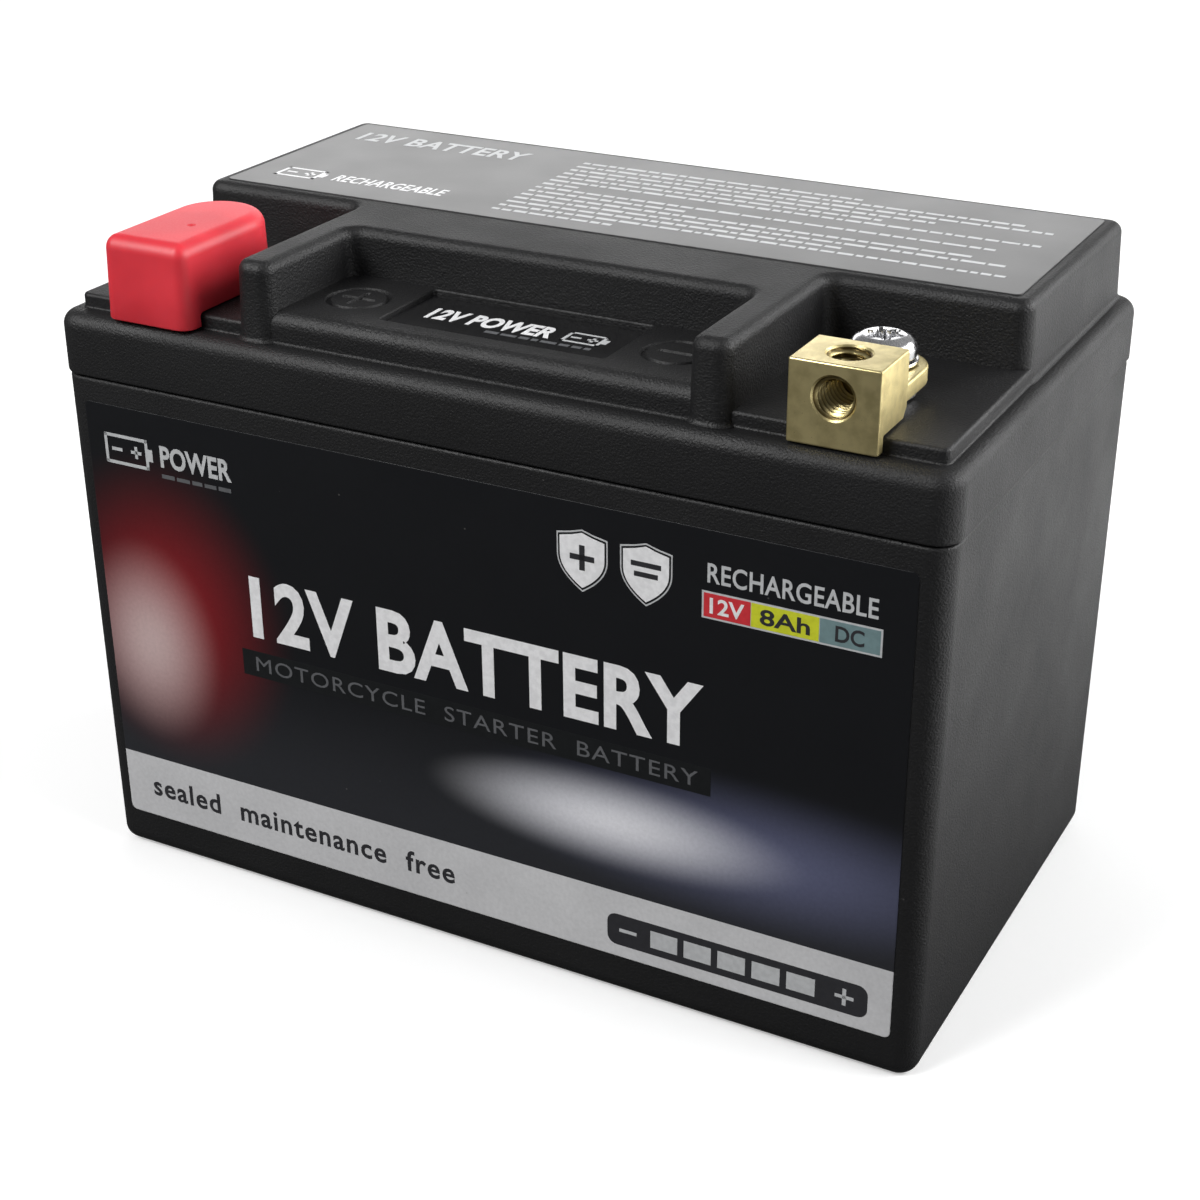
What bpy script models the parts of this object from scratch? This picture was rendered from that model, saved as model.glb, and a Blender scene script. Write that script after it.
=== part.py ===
"""Motorcycle battery: case, lid, terminals, red cap, and the cell pack with its board inside.

Metres, +Z up. The origin is the middle of the base. -Y is the labelled front, +X is the
negative terminal's end.
"""

import math

import bmesh
import bpy
import numpy as np
from mathutils import Matrix, Vector

MM = 0.001

# Overall sizes of the closed battery.
LENGTH = 150.0 * MM
WIDTH = 87.0 * MM
HEIGHT = 110.0 * MM

# Levels of the lid, measured down from the top of the plateau.
SEAM_DROP = 22.6 * MM
DECK_DROP = 12.4 * MM
BAY_PAD_DROP = 10.1 * MM
CENTRE_PAD_DROP = 7.6 * MM

# Shell walls and the joint between case and lid.
WALL = 2.0 * MM
GAP = 0.3 * MM
CASE_STEP_IN = 0.3 * MM
CASE_DRAFT = 0.45 * MM
SHELL_CORNER = 4.0 * MM
BASE_FILLET = 2.4 * MM
DECK_FILLET = 2.4 * MM
TONGUE_HEIGHT = 2.4 * MM
SKIRT_LIP = 1.0 * MM

# Plateau, ribs and pads on the lid.
PLATEAU_END_INSET = 3.2 * MM
PLATEAU_BACK_INSET = 2.0 * MM
PLATEAU_DEPTH = 47.8 * MM
RECESS_WALL_FORWARD = 11.7 * MM
RIB_FRONT_INSET = 2.7 * MM
RIB_WIDTH = 6.2 * MM
BAY_HALF_TO_RIB = 15.6 * MM
PLATEAU_CORNER = 2.4 * MM
PLATEAU_FILLET = 1.8 * MM
PLATEAU_DRAFT = 0.35 * MM
BAY_PAD_END_INSET = 2.9 * MM
BAY_PAD_FRONT_INSET = 4.0 * MM
BAY_PAD_FILLET = 0.5 * MM
CENTRE_PAD_FRONT_INSET = 3.4 * MM
CENTRE_PAD_FILLET = 2.2 * MM

# Labels and the polarity marks.
LABEL_THICK = 0.2 * MM
LABEL_END_INSET = 4.5 * MM
LABEL_BOTTOM = 7.2 * MM
LABEL_TOP_GAP = 4.0 * MM
LABEL_CORNER = 1.0 * MM
TOP_LABEL_MARGIN = 2.5 * MM
INSET_LABEL_BACK_GAP = 1.4 * MM
INSET_LABEL_DEPTH = 15.4 * MM
INSET_LABEL_DROP = 0.9 * MM
MARK_FROM_RIB = 7.7 * MM
MARK_FROM_RECESS = 10.2 * MM
MARK_RADIUS = 5.1 * MM
MARK_STROKE = 0.75 * MM
MARK_SINK = 0.5 * MM
MARK_BAR = 5.8 * MM
MARK_TO_LABEL = 3.2 * MM

# Terminals.
TERMINAL_FROM_END = 18.5 * MM
BLOCK_WIDTH = 13.2 * MM
BLOCK_DEPTH = 10.3 * MM
BLOCK_TOP = 9.9 * MM
BLOCK_FRONT_INSET = 1.8 * MM
BLOCK_HOLE_RADIUS = 2.55 * MM
BLOCK_HOLE_CHAMFER = 0.75 * MM
FRONT_HOLE_DROP = 4.8 * MM
TOP_HOLE_BACK = 5.2 * MM
TANG_THICK = 2.8 * MM
TANG_LIFT = 1.9 * MM
TANG_RADIUS = 6.3 * MM
TANG_REACH = 7.4 * MM
SCREW_HEAD_RADIUS = 4.75 * MM
SCREW_HEAD_HEIGHT = 3.0 * MM
SCREW_RADIUS = 2.4 * MM
SCREW_BELOW_TANG = 8.2 * MM
SCREW_CLEARANCE = 0.3 * MM
RECESS_RADIUS = 2.7 * MM
RECESS_DEPTH = 1.7 * MM
WASHER_RADIUS = 5.0 * MM
WASHER_THICK = 0.5 * MM
INSERT_RADIUS = 5.0 * MM
INSERT_STEM_RADIUS = 4.2 * MM
INSERT_FLANGE_RADIUS = 6.4 * MM
INSERT_FLANGE_THICK = 1.6 * MM
INSERT_TAIL = 3.0 * MM
SEAL_WIRE_RADIUS = 0.6 * MM

# Red cap over the positive terminal.
CAP_WALL = 1.2 * MM
CAP_FRONT_CORNER = 2.4 * MM
CAP_FILLET = 2.2 * MM
CAP_DRAFT = 0.45 * MM
CAP_TOP_THICK = 1.2 * MM

# Cell pack.
CELL_RADIUS = 13.0 * MM
CELL_HEIGHT = 65.0 * MM
CELL_BUTTON_RADIUS = 5.0 * MM
CELL_BUTTON_HEIGHT = 0.8 * MM
CELL_WEB = 0.8 * MM
CELL_COLUMNS = 4
CELL_ROWS = 3
BASE_FOAM_THICK = 2.0 * MM
TRAY_THICK = 8.0 * MM
TRAY_FROM_CELL_END = 1.2 * MM
PLATE_THICK = 0.5 * MM
STANDOFF_RADIUS = 2.1 * MM
PLATE_HALF_WIDTH = CELL_RADIUS + CELL_WEB / 2 - STANDOFF_RADIUS - GAP
STRAP_WIDTH = 9.0 * MM
STRAP_THICK = 1.0 * MM
END_FOAM_HEIGHT = 58.0 * MM
TOP_FOAM_LENGTH = 42.0 * MM
TOP_FOAM_DEPTH = 44.0 * MM

# Board on top of the cells.
BOARD_LIFT = 9.0 * MM
BOARD_THICK = 1.6 * MM
BOARD_LENGTH = 88.0 * MM
BOARD_DEPTH = 66.0 * MM
BOARD_SCREW_RADIUS = 1.0 * MM
BOARD_SCREW_HEAD_RADIUS = 2.5 * MM
BOARD_SCREW_HEAD_HEIGHT = 1.5 * MM
BOARD_SCREW_LENGTH = 7.0 * MM
TRANSISTOR_SIZE = (9.0 * MM, 10.0 * MM, 2.3 * MM)
TRANSISTOR_COUNT = 4
TRANSISTOR_PITCH = 12.0 * MM
CHIP_SIZE = (7.0 * MM, 7.0 * MM, 1.2 * MM)
CONNECTOR_SIZE = (14.0 * MM, 5.0 * MM, 5.5 * MM)
WIRE_RADIUS = 0.7 * MM
WIRE_FROM_BOARD = 2.2 * MM

# How far a cutter reaches past the face it cuts, and the corners of pads and cavities.
REACH = 1.0 * MM
PAD_CORNER = 1.2 * MM
CENTRE_PAD_CORNER = 2.6 * MM
CAVITY_CORNER = 1.0 * MM

# Facets of round shapes.
CORNER_STEPS = 4
FILLET_STEPS = 3
ROUND_SEGMENTS = 24
CELL_SEGMENTS = 20

# Places worked out from the sizes above.
seam_z = HEIGHT - SEAM_DROP
deck_z = HEIGHT - DECK_DROP
bay_pad_z = HEIGHT - BAY_PAD_DROP
centre_pad_z = HEIGHT - CENTRE_PAD_DROP
lid_ceiling_z = deck_z - WALL
lid_front_y = -WIDTH / 2
plateau_end_x = LENGTH / 2 - PLATEAU_END_INSET
plateau_back_y = WIDTH / 2 - PLATEAU_BACK_INSET
plateau_front_y = plateau_back_y - PLATEAU_DEPTH
recess_wall_y = plateau_front_y - RECESS_WALL_FORWARD
rib_front_y = lid_front_y + RIB_FRONT_INSET
terminal_x = LENGTH / 2 - TERMINAL_FROM_END
rib_outer_x = terminal_x - BAY_HALF_TO_RIB
rib_inner_x = rib_outer_x - RIB_WIDTH
bay_pad_front_y = lid_front_y + BAY_PAD_FRONT_INSET
mark_x = rib_inner_x - MARK_FROM_RIB
mark_y = recess_wall_y - MARK_FROM_RECESS
block_front_y = lid_front_y + BLOCK_FRONT_INSET
block_back_y = block_front_y + BLOCK_DEPTH
block_base_z = bay_pad_z + GAP
block_top_z = block_base_z + BLOCK_TOP - GAP
tang_base_z = block_base_z + TANG_LIFT - GAP
tang_top_z = tang_base_z + TANG_THICK
screw_y = block_back_y + TANG_REACH
washer_base_z = tang_top_z + GAP
head_base_z = washer_base_z + WASHER_THICK + GAP
insert_top_z = tang_base_z - GAP
flange_top_z = lid_ceiling_z - 2 * SEAL_WIRE_RADIUS - 2 * GAP
insert_base_z = flange_top_z - INSERT_FLANGE_THICK - INSERT_TAIL
case_inner_x = LENGTH / 2 - CASE_STEP_IN - CASE_DRAFT - WALL
case_inner_y = WIDTH / 2 - CASE_STEP_IN - CASE_DRAFT - WALL
base_foam_z = WALL + GAP
lower_link_z = base_foam_z + BASE_FOAM_THICK + GAP
cell_base_z = lower_link_z + PLATE_THICK + GAP
cell_top_z = cell_base_z + CELL_HEIGHT
upper_plate_z = cell_top_z + GAP
lower_tray_z = cell_base_z + TRAY_FROM_CELL_END
upper_tray_z = cell_top_z - TRAY_FROM_CELL_END - TRAY_THICK
cell_pitch = 2 * CELL_RADIUS + CELL_WEB
pack_half_x = (CELL_COLUMNS - 1) / 2 * cell_pitch + CELL_RADIUS
board_z = upper_plate_z + BOARD_LIFT
board_top_z = board_z + BOARD_THICK
column_x = [(i - (CELL_COLUMNS - 1) / 2) * cell_pitch for i in range(CELL_COLUMNS)]
row_y = [(i - (CELL_ROWS - 1) / 2) * cell_pitch for i in range(CELL_ROWS)]
standoff_places = [(x, y) for x in (-cell_pitch, cell_pitch) for y in (-cell_pitch / 2, cell_pitch / 2)]


def clear_scene():
    for obj in list(bpy.data.objects):
        bpy.data.objects.remove(obj, do_unlink=True)


def material(name, colour, roughness, metallic=0.0):
    """One Principled material, made once and shared."""
    found = bpy.data.materials.get(name)
    if found:
        return found
    made = bpy.data.materials.new(name)
    made.use_nodes = True
    shader = made.node_tree.nodes["Principled BSDF"]
    shader.inputs["Base Color"].default_value = (*colour, 1.0)
    shader.inputs["Roughness"].default_value = roughness
    shader.inputs["Metallic"].default_value = metallic
    return made


def shell_plastic():
    return material("black_shell_plastic", (0.012, 0.012, 0.013), 0.55)


def label_film():
    return material("dark_label_film", (0.015, 0.016, 0.018), 0.25)


def brass():
    return material("machined_brass", (0.72, 0.58, 0.27), 0.35, 1.0)


def plated_steel():
    return material("plated_steel", (0.72, 0.73, 0.74), 0.28, 1.0)


def copper():
    return material("bare_copper", (0.72, 0.38, 0.24), 0.4, 1.0)


def nickel_strip():
    return material("nickel_strip", (0.6, 0.58, 0.53), 0.35, 1.0)


def red_rubber():
    return material("soft_red_cap", (0.72, 0.04, 0.05), 0.5)


def seal_rubber():
    return material("seal_rubber", (0.02, 0.02, 0.02), 0.7)


def cell_sleeve():
    return material("blue_cell_sleeve", (0.03, 0.16, 0.42), 0.35)


def tray_plastic():
    return material("tray_plastic", (0.05, 0.05, 0.055), 0.6)


def foam():
    return material("grey_foam", (0.16, 0.16, 0.17), 0.95)


def board_laminate():
    return material("green_board", (0.01, 0.16, 0.06), 0.45)


def chip_plastic():
    return material("chip_plastic", (0.02, 0.02, 0.022), 0.5)


def connector_plastic():
    return material("cream_connector", (0.8, 0.77, 0.68), 0.45)


def wire_plastic():
    return material("red_wire_jacket", (0.6, 0.03, 0.03), 0.45)


def add_object(name, mesh, finish):
    """Puts a mesh in the scene under the node's name; a finish of None makes a cutter."""
    obj = bpy.data.objects.new(name, mesh)
    bpy.context.scene.collection.objects.link(obj)
    if finish is None:
        obj.hide_render = True
        obj.display_type = "WIRE"
    else:
        mesh.materials.append(finish)
    return obj


def from_bmesh(name, bm, finish, smooth_angle=None):
    bmesh.ops.recalc_face_normals(bm, faces=bm.faces)
    mesh = bpy.data.meshes.new(name)
    bm.to_mesh(mesh)
    bm.free()
    if smooth_angle is not None:
        mesh.shade_smooth()
        mesh.set_sharp_from_angle(angle=math.radians(smooth_angle))
    return add_object(name, mesh, finish)


def cut(target, cutter):
    step = target.modifiers.new("cut_" + cutter.name, "BOOLEAN")
    step.operation = "DIFFERENCE"
    step.solver = "EXACT"
    step.object = cutter


def join(target, other):
    step = target.modifiers.new("join_" + other.name, "BOOLEAN")
    step.operation = "UNION"
    step.solver = "EXACT"
    step.object = other


def rounded_outline(corners, radii, inset=0.0, steps=CORNER_STEPS):
    """A closed outline, anticlockwise, with each edge moved inwards by inset.

    An outer corner's arc loses the inset from its radius and an inner corner's arc gains it, so
    outlines of different insets keep one wall thickness between them and the same point count.
    """
    count = len(corners)
    points = []
    for i in range(count):
        before = Vector(corners[i - 1])
        here = Vector(corners[i])
        after = Vector(corners[(i + 1) % count])
        along_in = (here - before).normalized()
        along_out = (after - here).normalized()
        side_in = Vector((-along_in.y, along_in.x))
        side_out = Vector((-along_out.y, along_out.x))
        moved = here + inset * (side_in + side_out) / (1 + side_in.dot(side_out))
        turn = math.atan2(along_in.cross(along_out), along_in.dot(along_out))
        bend = math.copysign(1.0, turn)
        radius = max(radii[i] - bend * inset, 0.05 * MM)
        start = moved - along_in * radius * math.tan(abs(turn) / 2)
        centre = start + side_in * radius * bend
        spoke = start - centre
        for k in range(steps + 1):
            angle = turn * k / steps
            c = math.cos(angle)
            s = math.sin(angle)
            points.append(centre + Vector((c * spoke.x - s * spoke.y, s * spoke.x + c * spoke.y)))
    return points


def box_corners(low_x, high_x, low_y, high_y):
    return [(low_x, low_y), (high_x, low_y), (high_x, high_y), (low_x, high_y)]


def shell_outline(inset, corner=SHELL_CORNER):
    """The outline of the lid's widest level, moved in by inset."""
    corners = box_corners(-LENGTH / 2, LENGTH / 2, -WIDTH / 2, WIDTH / 2)
    return rounded_outline(corners, [corner] * 4, inset)


def stacked(name, levels, finish, smooth_angle=35):
    """A solid through rings of the same point count: levels are (outline, z), first and last capped."""
    bm = bmesh.new()
    rings = [[bm.verts.new((p.x, p.y, z)) for p in outline] for outline, z in levels]
    for lower, upper in zip(rings, rings[1:]):
        for i in range(len(lower)):
            bm.faces.new((lower[i - 1], lower[i], upper[i], upper[i - 1]))
    bm.faces.new(list(reversed(rings[0])))
    bm.faces.new(rings[-1])
    return from_bmesh(name, bm, finish, smooth_angle)


def fillet_levels(outline_at, top_z, radius, extra_inset=0.0, steps=FILLET_STEPS):
    """Rings of a quarter-round top edge: the inset grows as the height closes on top_z."""
    levels = []
    for k in range(steps + 1):
        angle = math.pi / 2 * k / steps
        inset = extra_inset + radius * (1 - math.cos(angle))
        levels.append((outline_at(inset), top_z - radius * (1 - math.sin(angle))))
    return levels


def box(name, low, high, finish, edge=0.0):
    """A box between two corners, with an optional bevel on every edge."""
    bm = bmesh.new()
    size = Vector(high) - Vector(low)
    middle = (Vector(high) + Vector(low)) / 2
    place = Matrix.Translation(middle) @ Matrix.Diagonal((*size, 1.0))
    bmesh.ops.create_cube(bm, size=1.0, matrix=place)
    if edge:
        bmesh.ops.bevel(bm, geom=bm.edges[:], offset=edge, segments=2, profile=0.5, affect="EDGES")
    return from_bmesh(name, bm, finish, 35 if edge else None)


def turned(name, profile, place, finish, segments=ROUND_SEGMENTS):
    """A profile of (radius, z) points spun about an upright axis through place, top point first."""
    bm = bmesh.new()
    angles = np.linspace(0.0, 2 * math.pi, segments, endpoint=False)
    rings = []
    for radius, z in profile:
        if radius == 0.0:
            rings.append([bm.verts.new((place[0], place[1], z))])
            continue
        ring = [(place[0] + radius * math.cos(a), place[1] + radius * math.sin(a), z) for a in angles]
        rings.append([bm.verts.new(p) for p in ring])
    closed = profile[0][0] != 0.0
    pairs = list(zip(rings, rings[1:]))
    if closed:
        pairs.append((rings[-1], rings[0]))
    for upper, lower in pairs:
        for i in range(segments):
            if len(upper) == 1:
                quad = [upper[0], lower[i - 1], lower[i]]
            elif len(lower) == 1:
                quad = [upper[i], upper[i - 1], lower[0]]
            else:
                quad = [upper[i], upper[i - 1], lower[i - 1], lower[i]]
            bm.faces.new(quad)
    return from_bmesh(name, bm, finish, 35)


def disc(name, place, radius, low_z, high_z, finish, segments=ROUND_SEGMENTS):
    profile = [(0.0, high_z), (radius, high_z), (radius, low_z), (0.0, low_z)]
    return turned(name, profile, place, finish, segments)


def lying_cylinder(name, centre, radius, front_y, back_y, mouth):
    """A cutter along Y for a bore, opening into a cone of width mouth at its front."""
    bm = bmesh.new()
    stations = [(front_y - mouth, radius + 2 * mouth), (front_y + mouth, radius), (back_y, radius)]
    rings = []
    for y, r in stations:
        ring = []
        for k in range(ROUND_SEGMENTS):
            a = 2 * math.pi * k / ROUND_SEGMENTS
            ring.append(bm.verts.new((centre[0] + r * math.cos(a), y, centre[1] + r * math.sin(a))))
        rings.append(ring)
    for front, back in zip(rings, rings[1:]):
        for i in range(ROUND_SEGMENTS):
            bm.faces.new((front[i - 1], front[i], back[i], back[i - 1]))
    bm.faces.new(rings[0])
    bm.faces.new(list(reversed(rings[-1])))
    return from_bmesh(name, bm, None)


def wall_inset(z):
    """How far the drafted case wall stands inside the lid's outline at height z."""
    return CASE_STEP_IN + CASE_DRAFT * (1 - z / seam_z)


def front_sheet(name, outline, deep, shallow, finish):
    """A sheet parallel to the drafted front wall: outline in X and Z, from depth deep to shallow."""
    bm = bmesh.new()
    rings = []
    for depth in (deep, shallow):
        ring = [bm.verts.new((p.x, lid_front_y + wall_inset(p.y) + depth, p.y)) for p in outline]
        rings.append(ring)
    for i in range(len(outline)):
        bm.faces.new((rings[0][i - 1], rings[0][i], rings[1][i], rings[1][i - 1]))
    bm.faces.new(rings[0])
    bm.faces.new(list(reversed(rings[1])))
    return from_bmesh(name, bm, finish)


def make_case():
    """An open box: rounded base edge, drafted walls, a tongue that rises inside the lid's skirt."""
    rim_z = seam_z - GAP / 2
    tongue_z = seam_z + TONGUE_HEIGHT
    tongue_out = SKIRT_LIP + GAP
    levels = []
    for k in range(FILLET_STEPS + 1):
        angle = math.pi / 2 * k / FILLET_STEPS
        z = BASE_FILLET * (1 - math.cos(angle))
        inset = wall_inset(z) + BASE_FILLET * (1 - math.sin(angle))
        levels.append((shell_outline(inset), z))
    levels.append((shell_outline(wall_inset(rim_z)), rim_z))
    levels.append((shell_outline(tongue_out), rim_z))
    levels.append((shell_outline(tongue_out), tongue_z))
    levels.append((shell_outline(CASE_STEP_IN + WALL), tongue_z))
    levels.append((shell_outline(CASE_STEP_IN + CASE_DRAFT + WALL), WALL))
    case = stacked("case", levels, shell_plastic())
    cut(case, front_label_pocket())
    return case


def front_label_outline(grow):
    low_z = LABEL_BOTTOM - grow
    high_z = seam_z - LABEL_TOP_GAP + grow
    half = LENGTH / 2 - LABEL_END_INSET + grow
    return rounded_outline(box_corners(-half, half, low_z, high_z), [LABEL_CORNER + grow] * 4)


def front_label_pocket():
    return front_sheet("front_label_pocket", front_label_outline(GAP), GAP + LABEL_THICK, -REACH, None)


def plateau_corners():
    """Comb outline of the plateau with its two ribs, anticlockwise from the back left."""
    return [
        (-plateau_end_x, plateau_back_y),
        (-plateau_end_x, plateau_front_y),
        (-rib_outer_x, plateau_front_y),
        (-rib_outer_x, rib_front_y),
        (-rib_inner_x, rib_front_y),
        (-rib_inner_x, recess_wall_y),
        (rib_inner_x, recess_wall_y),
        (rib_inner_x, rib_front_y),
        (rib_outer_x, rib_front_y),
        (rib_outer_x, plateau_front_y),
        (plateau_end_x, plateau_front_y),
        (plateau_end_x, plateau_back_y),
    ]


def make_plateau():
    corners = plateau_corners()
    radii = [PLATEAU_CORNER] * len(corners)

    def outline_at(inset):
        return rounded_outline(corners, radii, inset)

    levels = [(outline_at(-PLATEAU_DRAFT), deck_z - WALL / 2)]
    levels += fillet_levels(outline_at, HEIGHT, PLATEAU_FILLET)
    return stacked("plateau_guide", levels, None)


def make_pad(name, corners, radii, top_z, fillet):
    def outline_at(inset):
        return rounded_outline(corners, radii, inset)

    levels = [(outline_at(0.0), deck_z - WALL / 2)]
    levels += fillet_levels(outline_at, top_z, fillet)
    return stacked(name, levels, None)


def bay_pad_guide(name, side):
    near_x = side * (rib_outer_x - RIB_WIDTH / 2)
    far_x = side * (LENGTH / 2 - BAY_PAD_END_INSET)
    back_y = plateau_front_y + PLATEAU_CORNER + REACH
    corners = box_corners(min(near_x, far_x), max(near_x, far_x), bay_pad_front_y, back_y)
    return make_pad(name, corners, [PAD_CORNER] * 4, bay_pad_z, BAY_PAD_FILLET)


def centre_pad_guide():
    half = rib_inner_x + RIB_WIDTH / 2
    front_y = lid_front_y + CENTRE_PAD_FRONT_INSET
    corners = box_corners(-half, half, front_y, recess_wall_y + PLATEAU_CORNER + REACH)
    return make_pad("centre_pad_guide", corners, [CENTRE_PAD_CORNER] * 4, centre_pad_z, CENTRE_PAD_FILLET)


def mark_ring_cutter(name, x):
    outer = MARK_RADIUS
    inner = MARK_RADIUS - MARK_STROKE
    low_z = centre_pad_z - MARK_SINK
    high_z = centre_pad_z + REACH
    profile = [(inner, high_z), (outer, high_z), (outer, low_z), (inner, low_z)]
    return turned(name, profile, (x, mark_y), None, 32)


def mark_bar_cutter(name, x, half_x, half_y):
    low = (x - half_x, mark_y - half_y, centre_pad_z - MARK_SINK)
    high = (x + half_x, mark_y + half_y, centre_pad_z + REACH)
    return box(name, low, high, None)


def inset_label_box(grow):
    """Corners in X and Y of the small label between the polarity marks."""
    half = mark_x - MARK_RADIUS - MARK_TO_LABEL + grow
    back = recess_wall_y - INSET_LABEL_BACK_GAP + grow
    front = recess_wall_y - INSET_LABEL_BACK_GAP - INSET_LABEL_DEPTH - grow
    return box_corners(-half, half, front, back)


def top_label_box(grow):
    """Corners in X and Y of the large label on the plateau."""
    half = plateau_end_x - TOP_LABEL_MARGIN + grow
    front = plateau_front_y + TOP_LABEL_MARGIN - grow
    back = plateau_back_y - TOP_LABEL_MARGIN + grow
    return box_corners(-half, half, front, back)


def flat_sheet(name, corners, radius, low_z, high_z, finish):
    outline = rounded_outline(corners, [radius] * 4)
    return stacked(name, [(outline, low_z), (outline, high_z)], finish, None)


def lid_cavity():
    """The hollow under the deck: wide at the skirt's lip, then one wall inside the outline."""
    lip_z = seam_z + TONGUE_HEIGHT + GAP
    levels = [
        (shell_outline(SKIRT_LIP), seam_z - REACH),
        (shell_outline(SKIRT_LIP), lip_z),
        (shell_outline(WALL), lip_z),
        (shell_outline(WALL), lid_ceiling_z),
    ]
    return stacked("lid_cavity", levels, None)


def plateau_cavity():
    """The hollow inside the plateau, one wall in from its sides and top."""
    x = plateau_end_x - WALL
    inner_x = rib_outer_x - WALL
    corners = [
        (-x, plateau_back_y - WALL),
        (-x, plateau_front_y + WALL),
        (-inner_x, plateau_front_y + WALL),
        (-inner_x, recess_wall_y + WALL),
        (inner_x, recess_wall_y + WALL),
        (inner_x, plateau_front_y + WALL),
        (x, plateau_front_y + WALL),
        (x, plateau_back_y - WALL),
    ]
    outline = rounded_outline(corners, [CAVITY_CORNER] * 8, 0.0, 2)
    top_z = HEIGHT - WALL - LABEL_THICK - GAP
    return stacked("plateau_cavity", [(outline, lid_ceiling_z - REACH), (outline, top_z)], None)


def make_lid():
    """Skirt and deck, with the plateau, ribs and pads standing on it and its underside cored out."""
    levels = [(shell_outline(0.0), seam_z + GAP / 2)]
    levels += fillet_levels(shell_outline, deck_z, DECK_FILLET, 0.1 * MM)
    lid = stacked("lid", levels, shell_plastic())
    join(lid, make_plateau())
    join(lid, bay_pad_guide("left_bay_pad_guide", -1))
    join(lid, bay_pad_guide("right_bay_pad_guide", 1))
    join(lid, centre_pad_guide())
    cut(lid, lid_cavity())
    cut(lid, plateau_cavity())
    half_bar = MARK_BAR / 2
    half_stroke = MARK_STROKE / 2
    cut(lid, mark_ring_cutter("plus_ring_cutter", -mark_x))
    cut(lid, mark_ring_cutter("minus_ring_cutter", mark_x))
    cut(lid, mark_bar_cutter("plus_bar_cutter", -mark_x, half_bar, half_stroke))
    cut(lid, mark_bar_cutter("plus_stem_cutter", -mark_x, half_stroke, half_bar))
    cut(lid, mark_bar_cutter("minus_bar_cutter", mark_x, half_bar, half_stroke))
    inset_floor = centre_pad_z - INSET_LABEL_DROP
    pocket = inset_label_box(GAP)
    cut(lid, flat_sheet("inset_label_pocket", pocket, 0.6 * MM, inset_floor, centre_pad_z + REACH, None))
    top_floor = HEIGHT - LABEL_THICK - GAP
    cut(lid, flat_sheet("top_label_pocket", top_label_box(GAP), 1.3 * MM, top_floor, HEIGHT + REACH, None))
    for side, word in ((-1, "left"), (1, "right")):
        place = (side * terminal_x, screw_y)
        radius = INSERT_STEM_RADIUS + GAP
        cut(lid, disc(word + "_insert_hole", place, radius, lid_ceiling_z - REACH, bay_pad_z + REACH, None))
    return lid


def make_labels():
    front_sheet("front_label", front_label_outline(0.0), LABEL_THICK, 0.0, label_film())
    top_low = HEIGHT - LABEL_THICK
    flat_sheet("top_label", top_label_box(0.0), LABEL_CORNER, top_low, HEIGHT, label_film())
    inset_low = centre_pad_z - INSET_LABEL_DROP + GAP
    inset_high = inset_low + LABEL_THICK
    flat_sheet("inset_label", inset_label_box(0.0), 0.3 * MM, inset_low, inset_high, label_film())


def make_block(name, x):
    """Brass block with a front and a top bore, a lip in front of the pad and a round-ended tang."""
    half = BLOCK_WIDTH / 2
    low = (x - half, block_front_y, block_base_z)
    high = (x + half, block_back_y, block_top_z)
    block = box(name, low, high, brass(), 0.25 * MM)
    lip_low = (x - half + 0.3 * MM, block_front_y + 0.3 * MM, deck_z + GAP)
    lip_high = (x + half - 0.3 * MM, bay_pad_front_y - GAP, block_base_z + REACH)
    join(block, box(name + "_lip_guide", lip_low, lip_high, None))
    corners = box_corners(x - TANG_RADIUS, x + TANG_RADIUS, block_back_y - REACH, screw_y + TANG_RADIUS)
    radii = [0.3 * MM, 0.3 * MM, TANG_RADIUS * 0.999, TANG_RADIUS * 0.999]
    outline = rounded_outline(corners, radii, 0.0, 8)
    join(block, stacked(name + "_tang_guide", [(outline, tang_base_z), (outline, tang_top_z)], None))
    bore_end = block_front_y + BLOCK_DEPTH - 1.2 * MM
    bore_z = block_top_z - FRONT_HOLE_DROP
    radius = BLOCK_HOLE_RADIUS
    chamfer = BLOCK_HOLE_CHAMFER
    cut(block, lying_cylinder(name + "_front_bore", (x, bore_z), radius, block_front_y, bore_end, chamfer))
    top_bore = [
        (0.0, block_top_z + chamfer),
        (radius + 2 * chamfer, block_top_z + chamfer),
        (radius, block_top_z - chamfer),
        (radius, bore_z),
        (0.0, bore_z),
    ]
    cut(block, turned(name + "_top_bore", top_bore, (x, block_front_y + TOP_HOLE_BACK), None))
    hole = SCREW_RADIUS + SCREW_CLEARANCE
    cut(block, disc(name + "_tang_hole", (x, screw_y), hole, tang_base_z - REACH, tang_top_z + REACH, None))
    return block


def star_outline(x, lobe_radius, valley_radius, lobes=6, steps=6):
    """A six-lobed recess: the radius swings between lobe and valley as a cosine of the angle."""
    middle = (lobe_radius + valley_radius) / 2
    swing = (lobe_radius - valley_radius) / 2
    points = []
    for k in range(lobes * steps):
        angle = 2 * math.pi * k / (lobes * steps)
        radius = middle + swing * math.cos(lobes * angle)
        points.append(Vector((x + radius * math.cos(angle), screw_y + radius * math.sin(angle))))
    return points


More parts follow.
